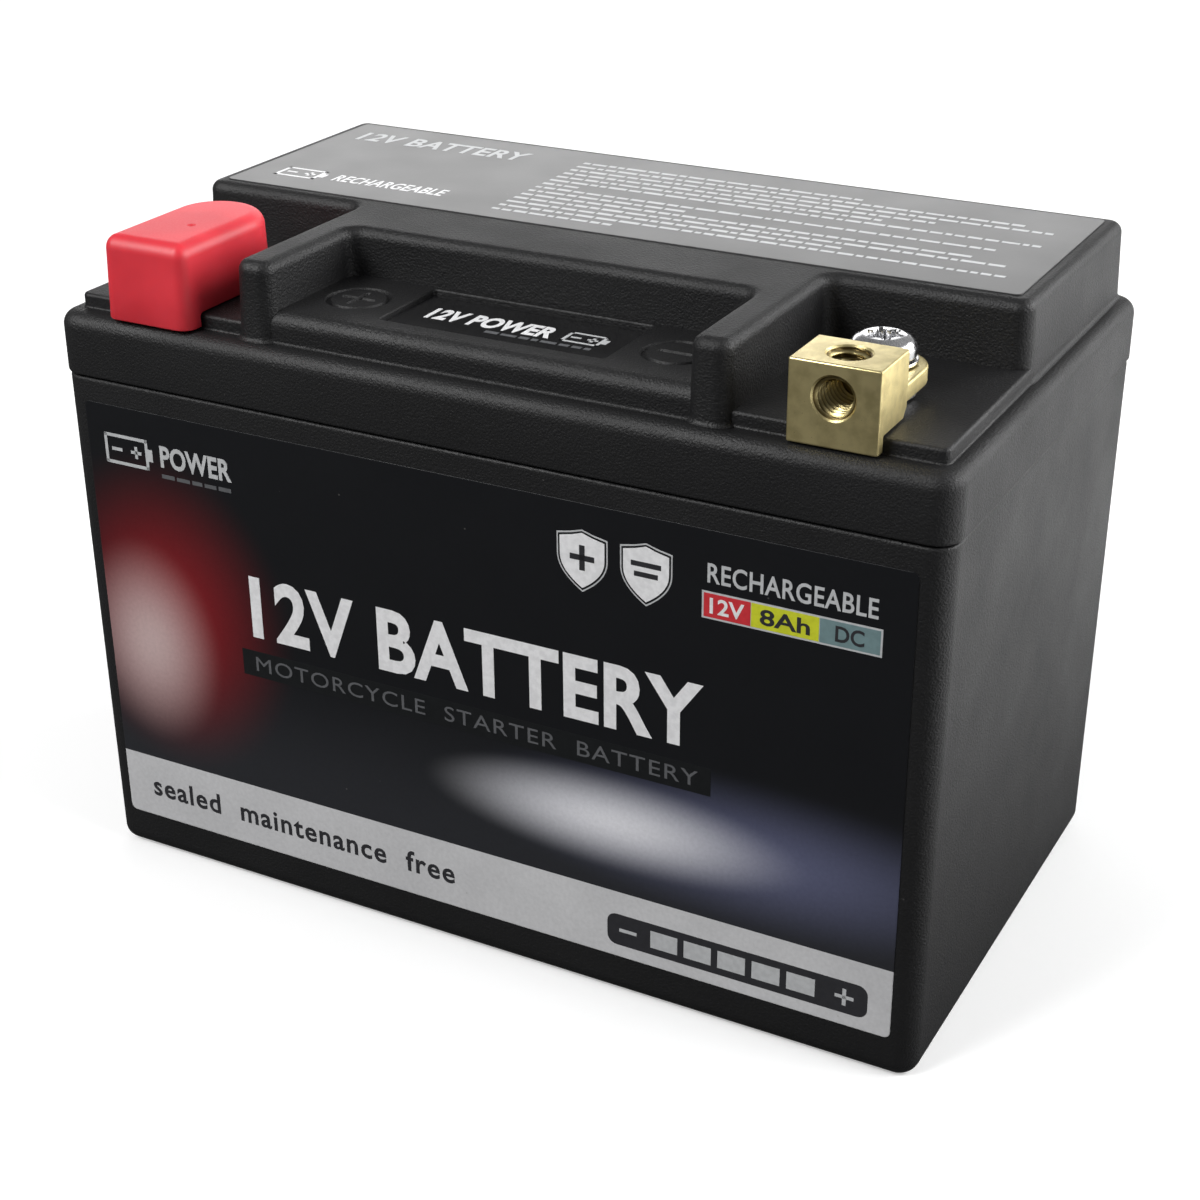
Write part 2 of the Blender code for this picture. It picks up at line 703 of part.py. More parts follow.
def make_screw(name, x):
    """Pan-head screw with a star recess and a plain shank in place of its thread."""
    top_z = head_base_z + SCREW_HEAD_HEIGHT
    rim = SCREW_HEAD_HEIGHT * 0.45
    tip_z = insert_top_z - SCREW_BELOW_TANG
    profile = [
        (0.0, top_z),
        (SCREW_HEAD_RADIUS * 0.72, top_z - 0.12 * MM),
        (SCREW_HEAD_RADIUS * 0.92, top_z - 0.75 * MM),
        (SCREW_HEAD_RADIUS, head_base_z + rim),
        (SCREW_HEAD_RADIUS, head_base_z),
        (SCREW_RADIUS, head_base_z),
        (SCREW_RADIUS, tip_z + 0.6 * MM),
        (SCREW_RADIUS - 0.6 * MM, tip_z),
        (0.0, tip_z),
    ]
    screw = turned(name, profile, (x, screw_y), plated_steel())
    outline = star_outline(x, RECESS_RADIUS, RECESS_RADIUS * 0.74)
    cut(screw, stacked(name + "_recess", [(outline, top_z - RECESS_DEPTH), (outline, top_z + REACH)], None))
    return screw


def make_washer(name, x):
    hole = SCREW_RADIUS + SCREW_CLEARANCE
    top_z = washer_base_z + WASHER_THICK
    profile = [
        (hole, top_z),
        (WASHER_RADIUS, top_z),
        (WASHER_RADIUS, washer_base_z),
        (hole, washer_base_z),
    ]
    return turned(name, profile, (x, screw_y), plated_steel())


def make_insert(name, x):
    """Bush through the deck: a head above the pad, a stem in the deck, a flange and tail below it."""
    hole = SCREW_RADIUS + SCREW_CLEARANCE
    head_low = bay_pad_z + GAP
    flange_low = flange_top_z - INSERT_FLANGE_THICK
    profile = [
        (hole, insert_top_z),
        (INSERT_RADIUS, insert_top_z),
        (INSERT_RADIUS, head_low),
        (INSERT_STEM_RADIUS, head_low),
        (INSERT_STEM_RADIUS, flange_top_z),
        (INSERT_FLANGE_RADIUS, flange_top_z),
        (INSERT_FLANGE_RADIUS, flange_low),
        (INSERT_STEM_RADIUS, flange_low),
        (INSERT_STEM_RADIUS, insert_base_z),
        (hole, insert_base_z),
    ]
    return turned(name, profile, (x, screw_y), plated_steel())


def make_seal(name, x):
    """Rubber ring squeezed between the insert's flange and the underside of the deck."""
    ring_radius = INSERT_STEM_RADIUS + GAP + SEAL_WIRE_RADIUS
    middle_z = lid_ceiling_z - GAP - SEAL_WIRE_RADIUS
    profile = []
    for k in range(8):
        angle = 2 * math.pi * k / 8
        r = ring_radius + SEAL_WIRE_RADIUS * math.cos(angle)
        profile.append((r, middle_z - SEAL_WIRE_RADIUS * math.sin(angle)))
    return turned(name, profile, (x, screw_y), seal_rubber())


def make_cap():
    """Soft cover over the positive terminal: square front, round back, a longer skirt in front."""
    x = -terminal_x
    inner_half = BLOCK_WIDTH / 2 + GAP
    half = inner_half + CAP_WALL
    front_y = block_front_y - GAP - CAP_WALL
    corners = box_corners(x - half, x + half, front_y, screw_y + half)
    radii = [CAP_FRONT_CORNER, CAP_FRONT_CORNER, half * 0.995, half * 0.995]

    def outline_at(inset):
        return rounded_outline(corners, radii, inset, 6)

    low_z = deck_z + GAP
    inner_top = block_top_z + GAP
    top_z = inner_top + CAP_TOP_THICK
    levels = [(outline_at(CAP_WALL), inner_top), (outline_at(CAP_WALL), low_z), (outline_at(0.0), low_z)]
    levels += fillet_levels(outline_at, top_z, CAP_FILLET, CAP_DRAFT)
    cap = stacked("terminal_cap", levels, red_rubber())
    step_low = (x - half - REACH, bay_pad_front_y - GAP, low_z - REACH)
    step_high = (x + half + REACH, screw_y + half + REACH, bay_pad_z + GAP)
    cut(cap, box("cap_step_cutter", step_low, step_high, None))
    return cap


def make_cell(name, x, y, upright):
    """One cylindrical cell; its raised button points up or down with its polarity."""
    low_z = cell_base_z
    high_z = cell_top_z
    soft = 0.6 * MM
    body = [
        (CELL_RADIUS - soft, high_z),
        (CELL_RADIUS, high_z - soft),
        (CELL_RADIUS, low_z + soft),
        (CELL_RADIUS - soft, low_z),
    ]
    button = CELL_BUTTON_RADIUS
    recess = CELL_BUTTON_HEIGHT
    if upright:
        top = [(0.0, high_z), (button, high_z), (button, high_z - recess), (button * 1.5, high_z - recess)]
        profile = top + [(button * 1.5, high_z)] + body + [(0.0, low_z)]
    else:
        end = [(button * 1.5, low_z), (button * 1.5, low_z + recess), (button, low_z + recess)]
        profile = [(0.0, high_z)] + body + end + [(button, low_z), (0.0, low_z)]
    return turned(name, profile, (x, y), cell_sleeve(), CELL_SEGMENTS)


def make_cells():
    number = 0
    for column, x in enumerate(column_x):
        for y in row_y:
            number += 1
            make_cell(f"cell_{number:02d}", x, y, column % 2 == 0)


def make_tray(name, low_z):
    """Plate with a bore for every cell, filling the case from wall to wall."""
    half_x = pack_half_x + CELL_WEB
    half_y = case_inner_y - GAP
    corners = box_corners(-half_x, half_x, -half_y, half_y)
    outline = rounded_outline(corners, [SHELL_CORNER] * 4)
    tray = stacked(name, [(outline, low_z), (outline, low_z + TRAY_THICK)], tray_plastic())
    number = 0
    for x in column_x:
        for y in row_y:
            number += 1
            bore = f"{name}_bore_{number:02d}"
            top_z = low_z + TRAY_THICK + REACH
            cutter = disc(bore, (x, y), CELL_RADIUS + GAP / 2, low_z - REACH, top_z, None, CELL_SEGMENTS)
            cut(tray, cutter)
    return tray


def make_plate(name, first, last, low_z):
    """Nickel strip over the ends of the cells in columns first to last."""
    low = (column_x[first] - PLATE_HALF_WIDTH, row_y[0] - PLATE_HALF_WIDTH, low_z)
    high = (column_x[last] + PLATE_HALF_WIDTH, row_y[-1] + PLATE_HALF_WIDTH, low_z + PLATE_THICK)
    return box(name, low, high, nickel_strip())


def make_plates():
    make_plate("lower_link_left", 0, 1, lower_link_z)
    make_plate("lower_link_right", 2, 3, lower_link_z)
    make_plate("positive_plate", 0, 0, upper_plate_z)
    make_plate("middle_link", 1, 2, upper_plate_z)
    make_plate("negative_plate", 3, 3, upper_plate_z)


def make_strap(name, side):
    """Copper strap: a foot on the end plate, a riser, and an eye below the terminal insert."""
    foot_z = upper_plate_z + PLATE_THICK + GAP
    eye_z = insert_base_z - GAP - STRAP_THICK
    riser = BOARD_LENGTH / 2 + 4 * MM
    foot_x = column_x[-1] - PLATE_HALF_WIDTH / 2
    far_x = terminal_x + STRAP_WIDTH / 2
    t = STRAP_THICK
    path = [
        (foot_x, foot_z),
        (riser, foot_z),
        (riser, eye_z),
        (far_x, eye_z),
        (far_x, eye_z + t),
        (riser - t, eye_z + t),
        (riser - t, foot_z + t),
        (foot_x, foot_z + t),
    ]
    bm = bmesh.new()
    rings = []
    for y in (screw_y - STRAP_WIDTH / 2, screw_y + STRAP_WIDTH / 2):
        rings.append([bm.verts.new((side * x, y, z)) for x, z in path])
    for i in range(len(path)):
        bm.faces.new((rings[0][i - 1], rings[0][i], rings[1][i], rings[1][i - 1]))
    bm.faces.new(rings[0])
    bm.faces.new(list(reversed(rings[1])))
    return from_bmesh(name, bm, copper())


def make_foam():
    half_x = case_inner_x - GAP
    half_y = case_inner_y - GAP
    corners = box_corners(-half_x, half_x, -half_y, half_y)
    low_z = base_foam_z
    flat_sheet("base_foam", corners, SHELL_CORNER, low_z, low_z + BASE_FOAM_THICK, foam())
    near_x = pack_half_x + CELL_WEB + GAP
    foam_low = lower_link_z
    foam_high = foam_low + END_FOAM_HEIGHT
    for side, name in ((-1, "left_end_foam"), (1, "right_end_foam")):
        low_x = min(side * near_x, side * half_x)
        high_x = max(side * near_x, side * half_x)
        corners = box_corners(low_x, high_x, -half_y, half_y)
        flat_sheet(name, corners, SHELL_CORNER, foam_low, foam_high, foam())
    foam_low = board_top_z + GAP + TRANSISTOR_SIZE[2] + GAP
    half = TOP_FOAM_LENGTH / 2
    corners = box_corners(-half, half, -TOP_FOAM_DEPTH / 3, TOP_FOAM_DEPTH * 2 / 3)
    flat_sheet("top_foam", corners, 2 * MM, foam_low, lid_ceiling_z - GAP, foam())


def make_board():
    low = (-BOARD_LENGTH / 2, -BOARD_DEPTH / 2, board_z)
    high = (BOARD_LENGTH / 2, BOARD_DEPTH / 2, board_top_z)
    board = box("balance_board", low, high, board_laminate())
    hole = BOARD_SCREW_RADIUS + GAP
    for number, place in enumerate(standoff_places, 1):
        cutter = disc(f"board_hole_{number}", place, hole, board_z - REACH, board_top_z + REACH, None, 12)
        cut(board, cutter)
        make_standoff(f"standoff_{number}", place)
        make_board_screw(f"board_screw_{number}", place)
    base_z = board_top_z + GAP
    first_x = -(TRANSISTOR_COUNT - 1) / 2 * TRANSISTOR_PITCH
    wide, deep, tall = TRANSISTOR_SIZE
    for number in range(TRANSISTOR_COUNT):
        x = first_x + number * TRANSISTOR_PITCH
        low = (x - wide / 2, BOARD_DEPTH / 2 - 4 * MM - deep, base_z)
        high = (x + wide / 2, BOARD_DEPTH / 2 - 4 * MM, base_z + tall)
        box(f"transistor_{number + 1}", low, high, chip_plastic(), 0.2 * MM)
    wide, deep, tall = CHIP_SIZE
    high = (wide / 2, deep / 2, base_z + tall)
    box("balance_chip", (-wide / 2, -deep / 2, base_z), high, chip_plastic(), 0.1 * MM)
    wide, deep, tall = CONNECTOR_SIZE
    front_y = -BOARD_DEPTH / 2 + 3 * MM
    low = (-wide / 2, front_y, base_z)
    high = (wide / 2, front_y + deep, base_z + tall)
    box("sense_connector", low, high, connector_plastic(), 0.3 * MM)


def make_standoff(name, place):
    """Tube from the upper tray to the board, bored at its top for the board's screw."""
    low_z = upper_tray_z + TRAY_THICK + GAP
    high_z = board_z - GAP
    bore = BOARD_SCREW_RADIUS + GAP
    bore_end = high_z - BOARD_SCREW_LENGTH
    profile = [
        (0.0, bore_end),
        (bore, bore_end),
        (bore, high_z),
        (STANDOFF_RADIUS, high_z),
        (STANDOFF_RADIUS, low_z),
        (0.0, low_z),
    ]
    return turned(name, profile, place, tray_plastic(), 12)


def make_board_screw(name, place):
    head_low = board_top_z + GAP
    head_high = head_low + BOARD_SCREW_HEAD_HEIGHT
    tip_z = board_z - BOARD_SCREW_LENGTH + REACH
    profile = [
        (0.0, head_high),
        (BOARD_SCREW_HEAD_RADIUS * 0.7, head_high),
        (BOARD_SCREW_HEAD_RADIUS, head_low + BOARD_SCREW_HEAD_HEIGHT * 0.5),
        (BOARD_SCREW_HEAD_RADIUS, head_low),
        (BOARD_SCREW_RADIUS, head_low),
        (BOARD_SCREW_RADIUS, tip_z),
        (0.0, tip_z),
    ]
    return turned(name, profile, place, plated_steel(), 12)


def make_wire(name, plate_x, plug_x):
    """Thin sense wire from a plate, up past the board's front edge and into the connector."""
    front_y = -BOARD_DEPTH / 2 - WIRE_FROM_BOARD
    plug_y = -BOARD_DEPTH / 2 + 3 * MM - GAP
    start_z = upper_plate_z + PLATE_THICK + GAP + WIRE_RADIUS
    plug_z = board_top_z + GAP + CONNECTOR_SIZE[2] / 2
    route = [
        (plate_x, row_y[0] - PLATE_HALF_WIDTH / 2, start_z),
        (plate_x, front_y + 1.5 * MM, start_z),
        (plate_x, front_y, start_z + 1.5 * MM),
        (plate_x * 0.8 + plug_x * 0.2, front_y, (start_z + plug_z) / 2),
        (plug_x, front_y, plug_z - 1.2 * MM),
        (plug_x, front_y + 1.2 * MM, plug_z),
        (plug_x, plug_y, plug_z),
    ]
    curve = bpy.data.curves.new(name, "CURVE")
    curve.dimensions = "3D"
    curve.bevel_depth = WIRE_RADIUS
    curve.bevel_resolution = 2
    curve.use_fill_caps = True
    spline = curve.splines.new("POLY")
    spline.points.add(len(route) - 1)
    for point, place in zip(spline.points, route):
        point.co = (*place, 1.0)
    curve.materials.append(wire_plastic())
    wire = bpy.data.objects.new(name, curve)
    bpy.context.scene.collection.objects.link(wire)
    return wire


def make_wires():
    make_wire("sense_wire_1", column_x[0] + CELL_RADIUS / 2, -4 * MM)
    make_wire("sense_wire_2", 0.0, 0.0)
    make_wire("sense_wire_3", column_x[-1] - CELL_RADIUS / 2, 4 * MM)


def make_terminal(word, x):
    make_block(word + "_block", x)
    make_screw(word + "_screw", x)
    make_washer(word + "_washer", x)
    make_insert(word + "_insert", x)
    make_seal(word + "_seal", x)


def build():
    clear_scene()
    make_case()
    make_lid()
    make_labels()
    make_terminal("positive", -terminal_x)
    make_terminal("negative", terminal_x)
    make_cap()
    make_cells()
    make_tray("lower_tray", lower_tray_z)
    make_tray("upper_tray", upper_tray_z)
    make_plates()
    make_strap("positive_strap", -1)
    make_strap("negative_strap", 1)
    make_board()
    make_wires()
    make_foam()


build()
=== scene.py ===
import math

import bpy
import numpy as np
from mathutils import Matrix, Vector


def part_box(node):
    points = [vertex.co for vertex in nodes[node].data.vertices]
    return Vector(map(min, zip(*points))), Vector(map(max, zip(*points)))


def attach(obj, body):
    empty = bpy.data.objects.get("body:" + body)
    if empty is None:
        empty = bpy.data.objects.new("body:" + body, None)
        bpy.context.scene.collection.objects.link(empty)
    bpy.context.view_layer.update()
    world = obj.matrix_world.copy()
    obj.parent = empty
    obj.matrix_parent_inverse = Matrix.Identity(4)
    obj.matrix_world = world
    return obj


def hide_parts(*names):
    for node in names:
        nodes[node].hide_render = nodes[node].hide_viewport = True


# Sizes in this file are in millimetres unless they say otherwise; meshes are written in metres.
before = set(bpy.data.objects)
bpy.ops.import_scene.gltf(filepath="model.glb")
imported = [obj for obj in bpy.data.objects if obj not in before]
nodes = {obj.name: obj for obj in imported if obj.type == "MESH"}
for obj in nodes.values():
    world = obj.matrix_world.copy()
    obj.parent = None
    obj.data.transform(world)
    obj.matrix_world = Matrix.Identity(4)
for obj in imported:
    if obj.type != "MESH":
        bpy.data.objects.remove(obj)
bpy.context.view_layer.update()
mm = 0.001


def nodeBox(name):
    low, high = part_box(name)
    return np.array(low) / mm, np.array(high) / mm


caseHigh = nodeBox("case")[1]
lidLow, lidHigh = nodeBox("lid")
blockLow, blockHigh = nodeBox("negative_block")
screwLow, screwHigh = nodeBox("negative_screw")
washerLow, washerHigh = nodeBox("negative_washer")
insertLow, insertHigh = nodeBox("negative_insert")
capLow, capHigh = nodeBox("terminal_cap")
terminalX = (blockLow[0] + blockHigh[0]) / 2
screwY = (screwLow[1] + screwHigh[1]) / 2
print("frame loaded:", len(nodes), "nodes")


# Closed outline with rounded corners, anticlockwise. Every edge moves in by inset; corner i turns by
# angle w about centre c = s + r n, and its points are c + R(t w)(s - c) for t = 0..1, with one lead
# point on the straight edge before and after the arc so that the flats shade flat.
def roundedOutline(corners, radii, inset=0.0, steps=8, lead=0.25):
    corners = np.asarray(corners, float)
    radii = np.broadcast_to(np.asarray(radii, float), len(corners))
    incoming = corners - np.roll(corners, 1, axis=0)
    incoming = incoming / np.linalg.norm(incoming, axis=1, keepdims=True)
    outgoing = np.roll(incoming, -1, axis=0)
    sideIn = np.stack([-incoming[:, 1], incoming[:, 0]], 1)
    sideOut = np.stack([-outgoing[:, 1], outgoing[:, 0]], 1)
    moved = corners + inset * (sideIn + sideOut) / (1 + (sideIn * sideOut).sum(1))[:, None]
    cross = incoming[:, 0] * outgoing[:, 1] - incoming[:, 1] * outgoing[:, 0]
    turn = np.arctan2(cross, (incoming * outgoing).sum(1))
    bend = np.sign(turn)
    radius = np.maximum(radii - bend * inset, 0.05)
    start = moved - incoming * (radius * np.tan(np.abs(turn) / 2))[:, None]
    centre = start + sideIn * (radius * bend)[:, None]
    spoke = start - centre
    angle = turn[:, None] * np.linspace(0, 1, steps + 1)[None, :]
    c, s = np.cos(angle), np.sin(angle)
    x = centre[:, :1] + c * spoke[:, :1] - s * spoke[:, 1:]
    y = centre[:, 1:] + s * spoke[:, :1] + c * spoke[:, 1:]
    arc = np.stack([x, y], -1)
    if lead:
        before = arc[:, :1] - incoming[:, None] * lead
        after = arc[:, -1:] + outgoing[:, None] * lead
        arc = np.concatenate([before, arc, after], 1)
    return arc.reshape(-1, 2)


# Open path of (r, z) points with its inner corners rounded by the same formula.
def roundedPath(points, radii, steps=4, lead=0.12):
    ring = roundedOutline(points, radii, 0.0, steps, lead)
    each = steps + (3 if lead else 1)
    return np.vstack([points[:1], ring[each:-each], points[-1:]])


def boxCorners(lowX, highX, lowY, highY):
    return [(lowX, lowY), (highX, lowY), (highX, highY), (lowX, highY)]


# grid[k, i] = (outline_k[i].x, outline_k[i].y, z_k)
def ringStack(levels):
    return np.stack([np.column_stack([line, np.broadcast_to(z, len(line))]) for line, z in levels])


# Rings of a quarter-round top edge: inset = first + r (1 - cos a), z = top - r (1 - sin a), for a from 0 to
# 90 degrees, with a ring either side that keeps the wall and the top flat.
def roundTop(outlineAt, top, radius, first=0.0, steps=7, after=0.35):
    angles = np.linspace(0, math.pi / 2, steps + 1)
    levels = [(outlineAt(first), top - radius - 0.25)]
    levels += [(outlineAt(first + radius * (1 - math.cos(a))),
        top - radius * (1 - math.sin(a))) for a in angles]
    return levels + [(outlineAt(first + radius + after), top)]


# point at turn t of profile point (r, z): (x0 + r cos t, y0 + r sin t, z)
def lathe(profile, place=(0.0, 0.0), steps=72):
    profile = np.asarray(profile, float)
    t = np.linspace(0, 2 * math.pi, steps, endpoint=False)
    r, z = profile[:, :1], profile[:, 1:]
    return np.stack([place[0] + r * np.cos(t), place[1] + r * np.sin(t), z + 0 * t], -1)


# r(t, z) = mean + depth clamp(1.6 tri(z / pitch - t / 2 pi), -1, 1), tri being a triangle wave from -1 to 1,
# and never less than the countersink r = mouth - (distance from the mouth at z = mouthZ)
def threadedRod(low, high, mean, depth, pitch, mouth=0.0, mouthZ=None, turnSteps=48, perPitch=9):
    rows = max(int((high - low) / pitch * perPitch), 4)
    z = np.linspace(low, high, rows)[:, None]
    t = np.linspace(0, 2 * math.pi, turnSteps, endpoint=False)[None, :]
    phase = (z / pitch - t / (2 * math.pi)) % 1.0
    wave = np.clip(1.6 * (4 * np.abs(phase - 0.5) - 1), -1, 1)
    r = mean + depth * wave
    if mouthZ is not None:
        r = np.maximum(r, mouth - (mouthZ - z))
    return np.stack([r * np.cos(t), r * np.sin(t), z + 0 * t], -1)


# Quads between neighbouring rows and columns; columns close on themselves, rows close too if wrap,
# and otherwise the first and last rows are capped.
def pieceFrom(name, grid, material=None, wrap=False, sharp=38):
    rows, columns = grid.shape[:2]
    index = np.arange(rows * columns).reshape(rows, columns)
    low = index if wrap else index[:-1]
    high = np.roll(index, -1, axis=0) if wrap else index[1:]
    quads = np.stack([low, np.roll(low, -1, 1), np.roll(high, -1, 1), high], -1).reshape(-1, 4)
    faces = quads.tolist()
    if not wrap:
        faces += [index[0][::-1].tolist(), index[-1].tolist()]
    return meshPiece(name, grid.reshape(-1, 3), faces, material, sharp)


def meshPiece(name, points, faces, material=None, sharp=38):
    mesh = bpy.data.meshes.new(name)
    mesh.from_pydata((np.asarray(points) * mm).tolist(), [], faces)
    mesh.shade_smooth()
    mesh.set_sharp_from_angle(angle=math.radians(sharp))
    obj = bpy.data.objects.new(name, mesh)
    bpy.context.scene.collection.objects.link(obj)
    if material:
        mesh.materials.append(material)
    return obj


# Exact booleans in the order given, baked into one mesh; the tools are then removed.
def carve(obj, tools, operation="DIFFERENCE", sharp=38):
    for tool in tools:
        step = obj.modifiers.new("carve", "BOOLEAN")
        step.operation = operation
        step.solver = "EXACT"
        step.object = tool
    graph = bpy.context.evaluated_depsgraph_get()
    mesh = bpy.data.meshes.new_from_object(obj.evaluated_get(graph))
    obj.modifiers.clear()
    obj.data = mesh
    mesh.shade_smooth()
    mesh.set_sharp_from_angle(angle=math.radians(sharp))
    for tool in tools:
        bpy.data.objects.remove(tool, do_unlink=True)
    return obj


def place(obj, body, slotName, *replaced):
    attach(obj, body)
    if replaced:
        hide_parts(*replaced)
    return obj


# Each input takes a socket as a link and anything else as its value.
def feed(tree, node, inputs):
    for key, value in inputs.items():
        if isinstance(value, bpy.types.NodeSocket):
            tree.links.new(value, node.inputs[key])
        else:
            node.inputs[key].default_value = value
    return node


def put(tree, kind, inputs=None, **settings):
    node = tree.nodes.new("ShaderNode" + kind)
    for key, value in settings.items():
        setattr(node, key, value)
    return feed(tree, node, inputs or {})


def noiseAt(tree, where, scale, detail=2.0):
    return put(tree, "TexNoise", {"Vector": where, "Scale": scale, "Detail": detail}).outputs["Fac"]


def calc(tree, operation, a, b=0.0, clamp=False):
    return put(tree, "Math", {0: a, 1: b}, operation=operation, use_clamp=clamp).outputs[0]


def remap(tree, value, lowIn, highIn, lowOut=0.0, highOut=1.0, kind="SMOOTHSTEP"):
    inputs = {"Value": value, "From Min": lowIn, "From Max": highIn, "To Min": lowOut, "To Max": highOut}
    return put(tree, "MapRange", inputs, interpolation_type=kind).outputs[0]


def mixColour(tree, factor, a, b, blend="MIX"):
    inputs = {0: factor, 6: a if isinstance(a, bpy.types.NodeSocket) else (*a, 1.0)}
    inputs[7] = b if isinstance(b, bpy.types.NodeSocket) else (*b, 1.0)
    return put(tree, "Mix", inputs, data_type="RGBA", blend_type=blend).outputs[2]


def millimetres(tree):
    where = put(tree, "TexCoord").outputs["Object"]
    return put(tree, "VectorMath", {0: where, 1: (1 / mm,) * 3}, operation="MULTIPLY").outputs[0]


def effectGroup(name, inputs, outputs, build):
    tree = bpy.data.node_groups.new(name, "ShaderNodeTree")
    for label, kind, value in inputs:
        socket = tree.interface.new_socket(label, in_out="INPUT", socket_type="NodeSocket" + kind)
        socket.default_value = value
    for label, kind in outputs:
        tree.interface.new_socket(label, in_out="OUTPUT", socket_type="NodeSocket" + kind)
    source = tree.nodes.new("NodeGroupInput")
    target = tree.nodes.new("NodeGroupOutput")
    for label, value in build(tree, source.outputs).items():
        tree.links.new(value, target.inputs[label])
    return tree


def effect(tree, group, inputs):
    return feed(tree, put(tree, "Group", node_tree=group), inputs).outputs


# Spark-eroded mould grain: a cell pattern under fine noise, both in units of Size millimetres.
def buildGrain(tree, given):
    where = given["Position"]
    scale = calc(tree, "DIVIDE", 1.0, given["Size"])
    cells = put(tree, "TexVoronoi", {"Vector": where, "Scale": scale}, feature="SMOOTH_F1")
    noise = put(tree, "TexNoise", {"Vector": where, "Scale": scale, "Detail": 3.0, "Roughness": 0.6})
    broad = noiseAt(tree, where, 0.06, 3.0)
    height = calc(tree, "ADD", calc(tree, "MULTIPLY", cells.outputs["Distance"], 0.6), noise.outputs["Fac"])
    return {"Height": height, "Tone": noise.outputs["Fac"], "Broad": broad}


mouldedGrain = effectGroup(
    "mouldedGrain",
    [("Position", "Vector", (0, 0, 0)), ("Size", "Float", 0.4)],
    [("Height", "Float"), ("Tone", "Float"), ("Broad", "Float")],
    buildGrain,
)


# Sparse dust: a spot in each cell of a coarse pattern, kept in a random share Amount of the cells.
def buildDust(tree, given):
    cells = put(tree, "TexVoronoi", {"Vector": given["Position"], "Scale": 0.45, "Randomness": 1.0})
    spot = remap(tree, cells.outputs["Distance"], 0.035, 0.09, 1.0, 0.0)
    chance = put(tree, "SeparateColor", {0: cells.outputs["Color"]}).outputs[0]
    kept = calc(tree, "LESS_THAN", chance, given["Amount"])
    return {"Mask": calc(tree, "MULTIPLY", spot, kept)}


dustSpecks = effectGroup(
    "dustSpecks",
    [("Position", "Vector", (0, 0, 0)), ("Amount", "Float", 0.1)],
    [("Mask", "Float")],
    buildDust,
)


# Fine rub marks: noise stretched along a turned direction and narrowed to thin lines.
def buildRubs(tree, given):
    turned = put(tree, "VectorRotate", {"Vector": given["Position"], "Angle": given["Turn"]},
        rotation_type="Z_AXIS")
    stretched = put(tree, "VectorMath", {0: turned.outputs[0], 1: (0.05, 2.2, 0.4)}, operation="MULTIPLY")
    noise = put(tree, "TexNoise", {"Vector": stretched.outputs[0], "Scale": 1.0, "Detail": 2.0})
    line = calc(tree, "ABSOLUTE", calc(tree, "SUBTRACT", noise.outputs["Fac"], 0.5))
    return {"Mask": remap(tree, line, 0.0, 0.012, 1.0, 0.0)}


rubMarks = effectGroup(
    "rubMarks",
    [("Position", "Vector", (0, 0, 0)), ("Turn", "Float", 0.3)],
    [("Mask", "Float")],
    buildRubs,
)


# Soft printed spot: 1 at Centre, falling over the outer share Softness to 0 at the ellipse of Radii, which
# is turned about Y.
def buildSpot(tree, given):
    away = put(tree, "VectorMath", {0: given["Position"], 1: given["Centre"]},
        operation="SUBTRACT").outputs[0]
    turned = put(tree, "VectorRotate", {"Vector": away, "Angle": given["Turn"]},
        rotation_type="Y_AXIS").outputs[0]
    share = put(tree, "VectorMath", {0: turned, 1: given["Radii"]}, operation="DIVIDE").outputs[0]
    reach = put(tree, "VectorMath", {0: share}, operation="LENGTH").outputs["Value"]
    inner = calc(tree, "SUBTRACT", 1.0, given["Softness"])
    return {"Strength": remap(tree, reach, inner, 1.0, 1.0, 0.0)}


softSpot = effectGroup(
    "softSpot",
    [
        ("Position", "Vector", (0, 0, 0)),
        ("Centre", "Vector", (0, 0, 0)),
        ("Radii", "Vector", (1, 1, 1)),
        ("Turn", "Float", 0.0),
        ("Softness", "Float", 1.0),
    ],
    [("Strength", "Float")],
    buildSpot,
)


def newMaterial(name):
    material = bpy.data.materials.new(name)
    material.use_nodes = True
    return material, material.node_tree, material.node_tree.nodes["Principled BSDF"]


def bump(tree, shader, height, strength, distance, before=None):
    inputs = {"Height": height, "Strength": strength, "Distance": distance * mm}
    if before is not None:
        inputs["Normal"] = before
    node = put(tree, "Bump", inputs)
    tree.links.new(node.outputs[0], shader.inputs["Normal"])
    return node.outputs[0]


shellLook = {"colour": (0.0055, 0.0055, 0.006), "dust": (0.12, 0.115, 0.11), "roughness": 0.53, "grain": 0.34}


def shellPlastic():
    material, tree, shader = newMaterial("blackShellPlastic")
    where = millimetres(tree)
    grain = effect(tree, mouldedGrain, {"Position": where, "Size": shellLook["grain"]})
    dust = effect(tree, dustSpecks, {"Position": where, "Amount": 0.05})["Mask"]
    rubs = effect(tree, rubMarks, {"Position": where, "Turn": 0.5})["Mask"]
    tone = remap(tree, grain["Tone"], 0.3, 0.7, 0.75, 1.3, "LINEAR")
    colour = mixColour(tree, 1.0, shellLook["colour"], put(tree, "CombineColor",
        {0: tone, 1: tone, 2: tone}).outputs[0], "MULTIPLY")
    colour = mixColour(tree, calc(tree, "MULTIPLY", dust, 0.35), colour, shellLook["dust"])
    tree.links.new(colour, shader.inputs["Base Color"])
    rough = remap(tree, grain["Broad"], 0.3, 0.7, shellLook["roughness"] - 0.05,
        shellLook["roughness"] + 0.06, "LINEAR")
    rough = calc(tree, "SUBTRACT", rough, calc(tree, "MULTIPLY", rubs, 0.04))
    tree.links.new(rough, shader.inputs["Roughness"])
    shader.inputs["Specular IOR Level"].default_value = 0.42
    bump(tree, shader, grain["Height"], 0.95, 0.11)
    return material


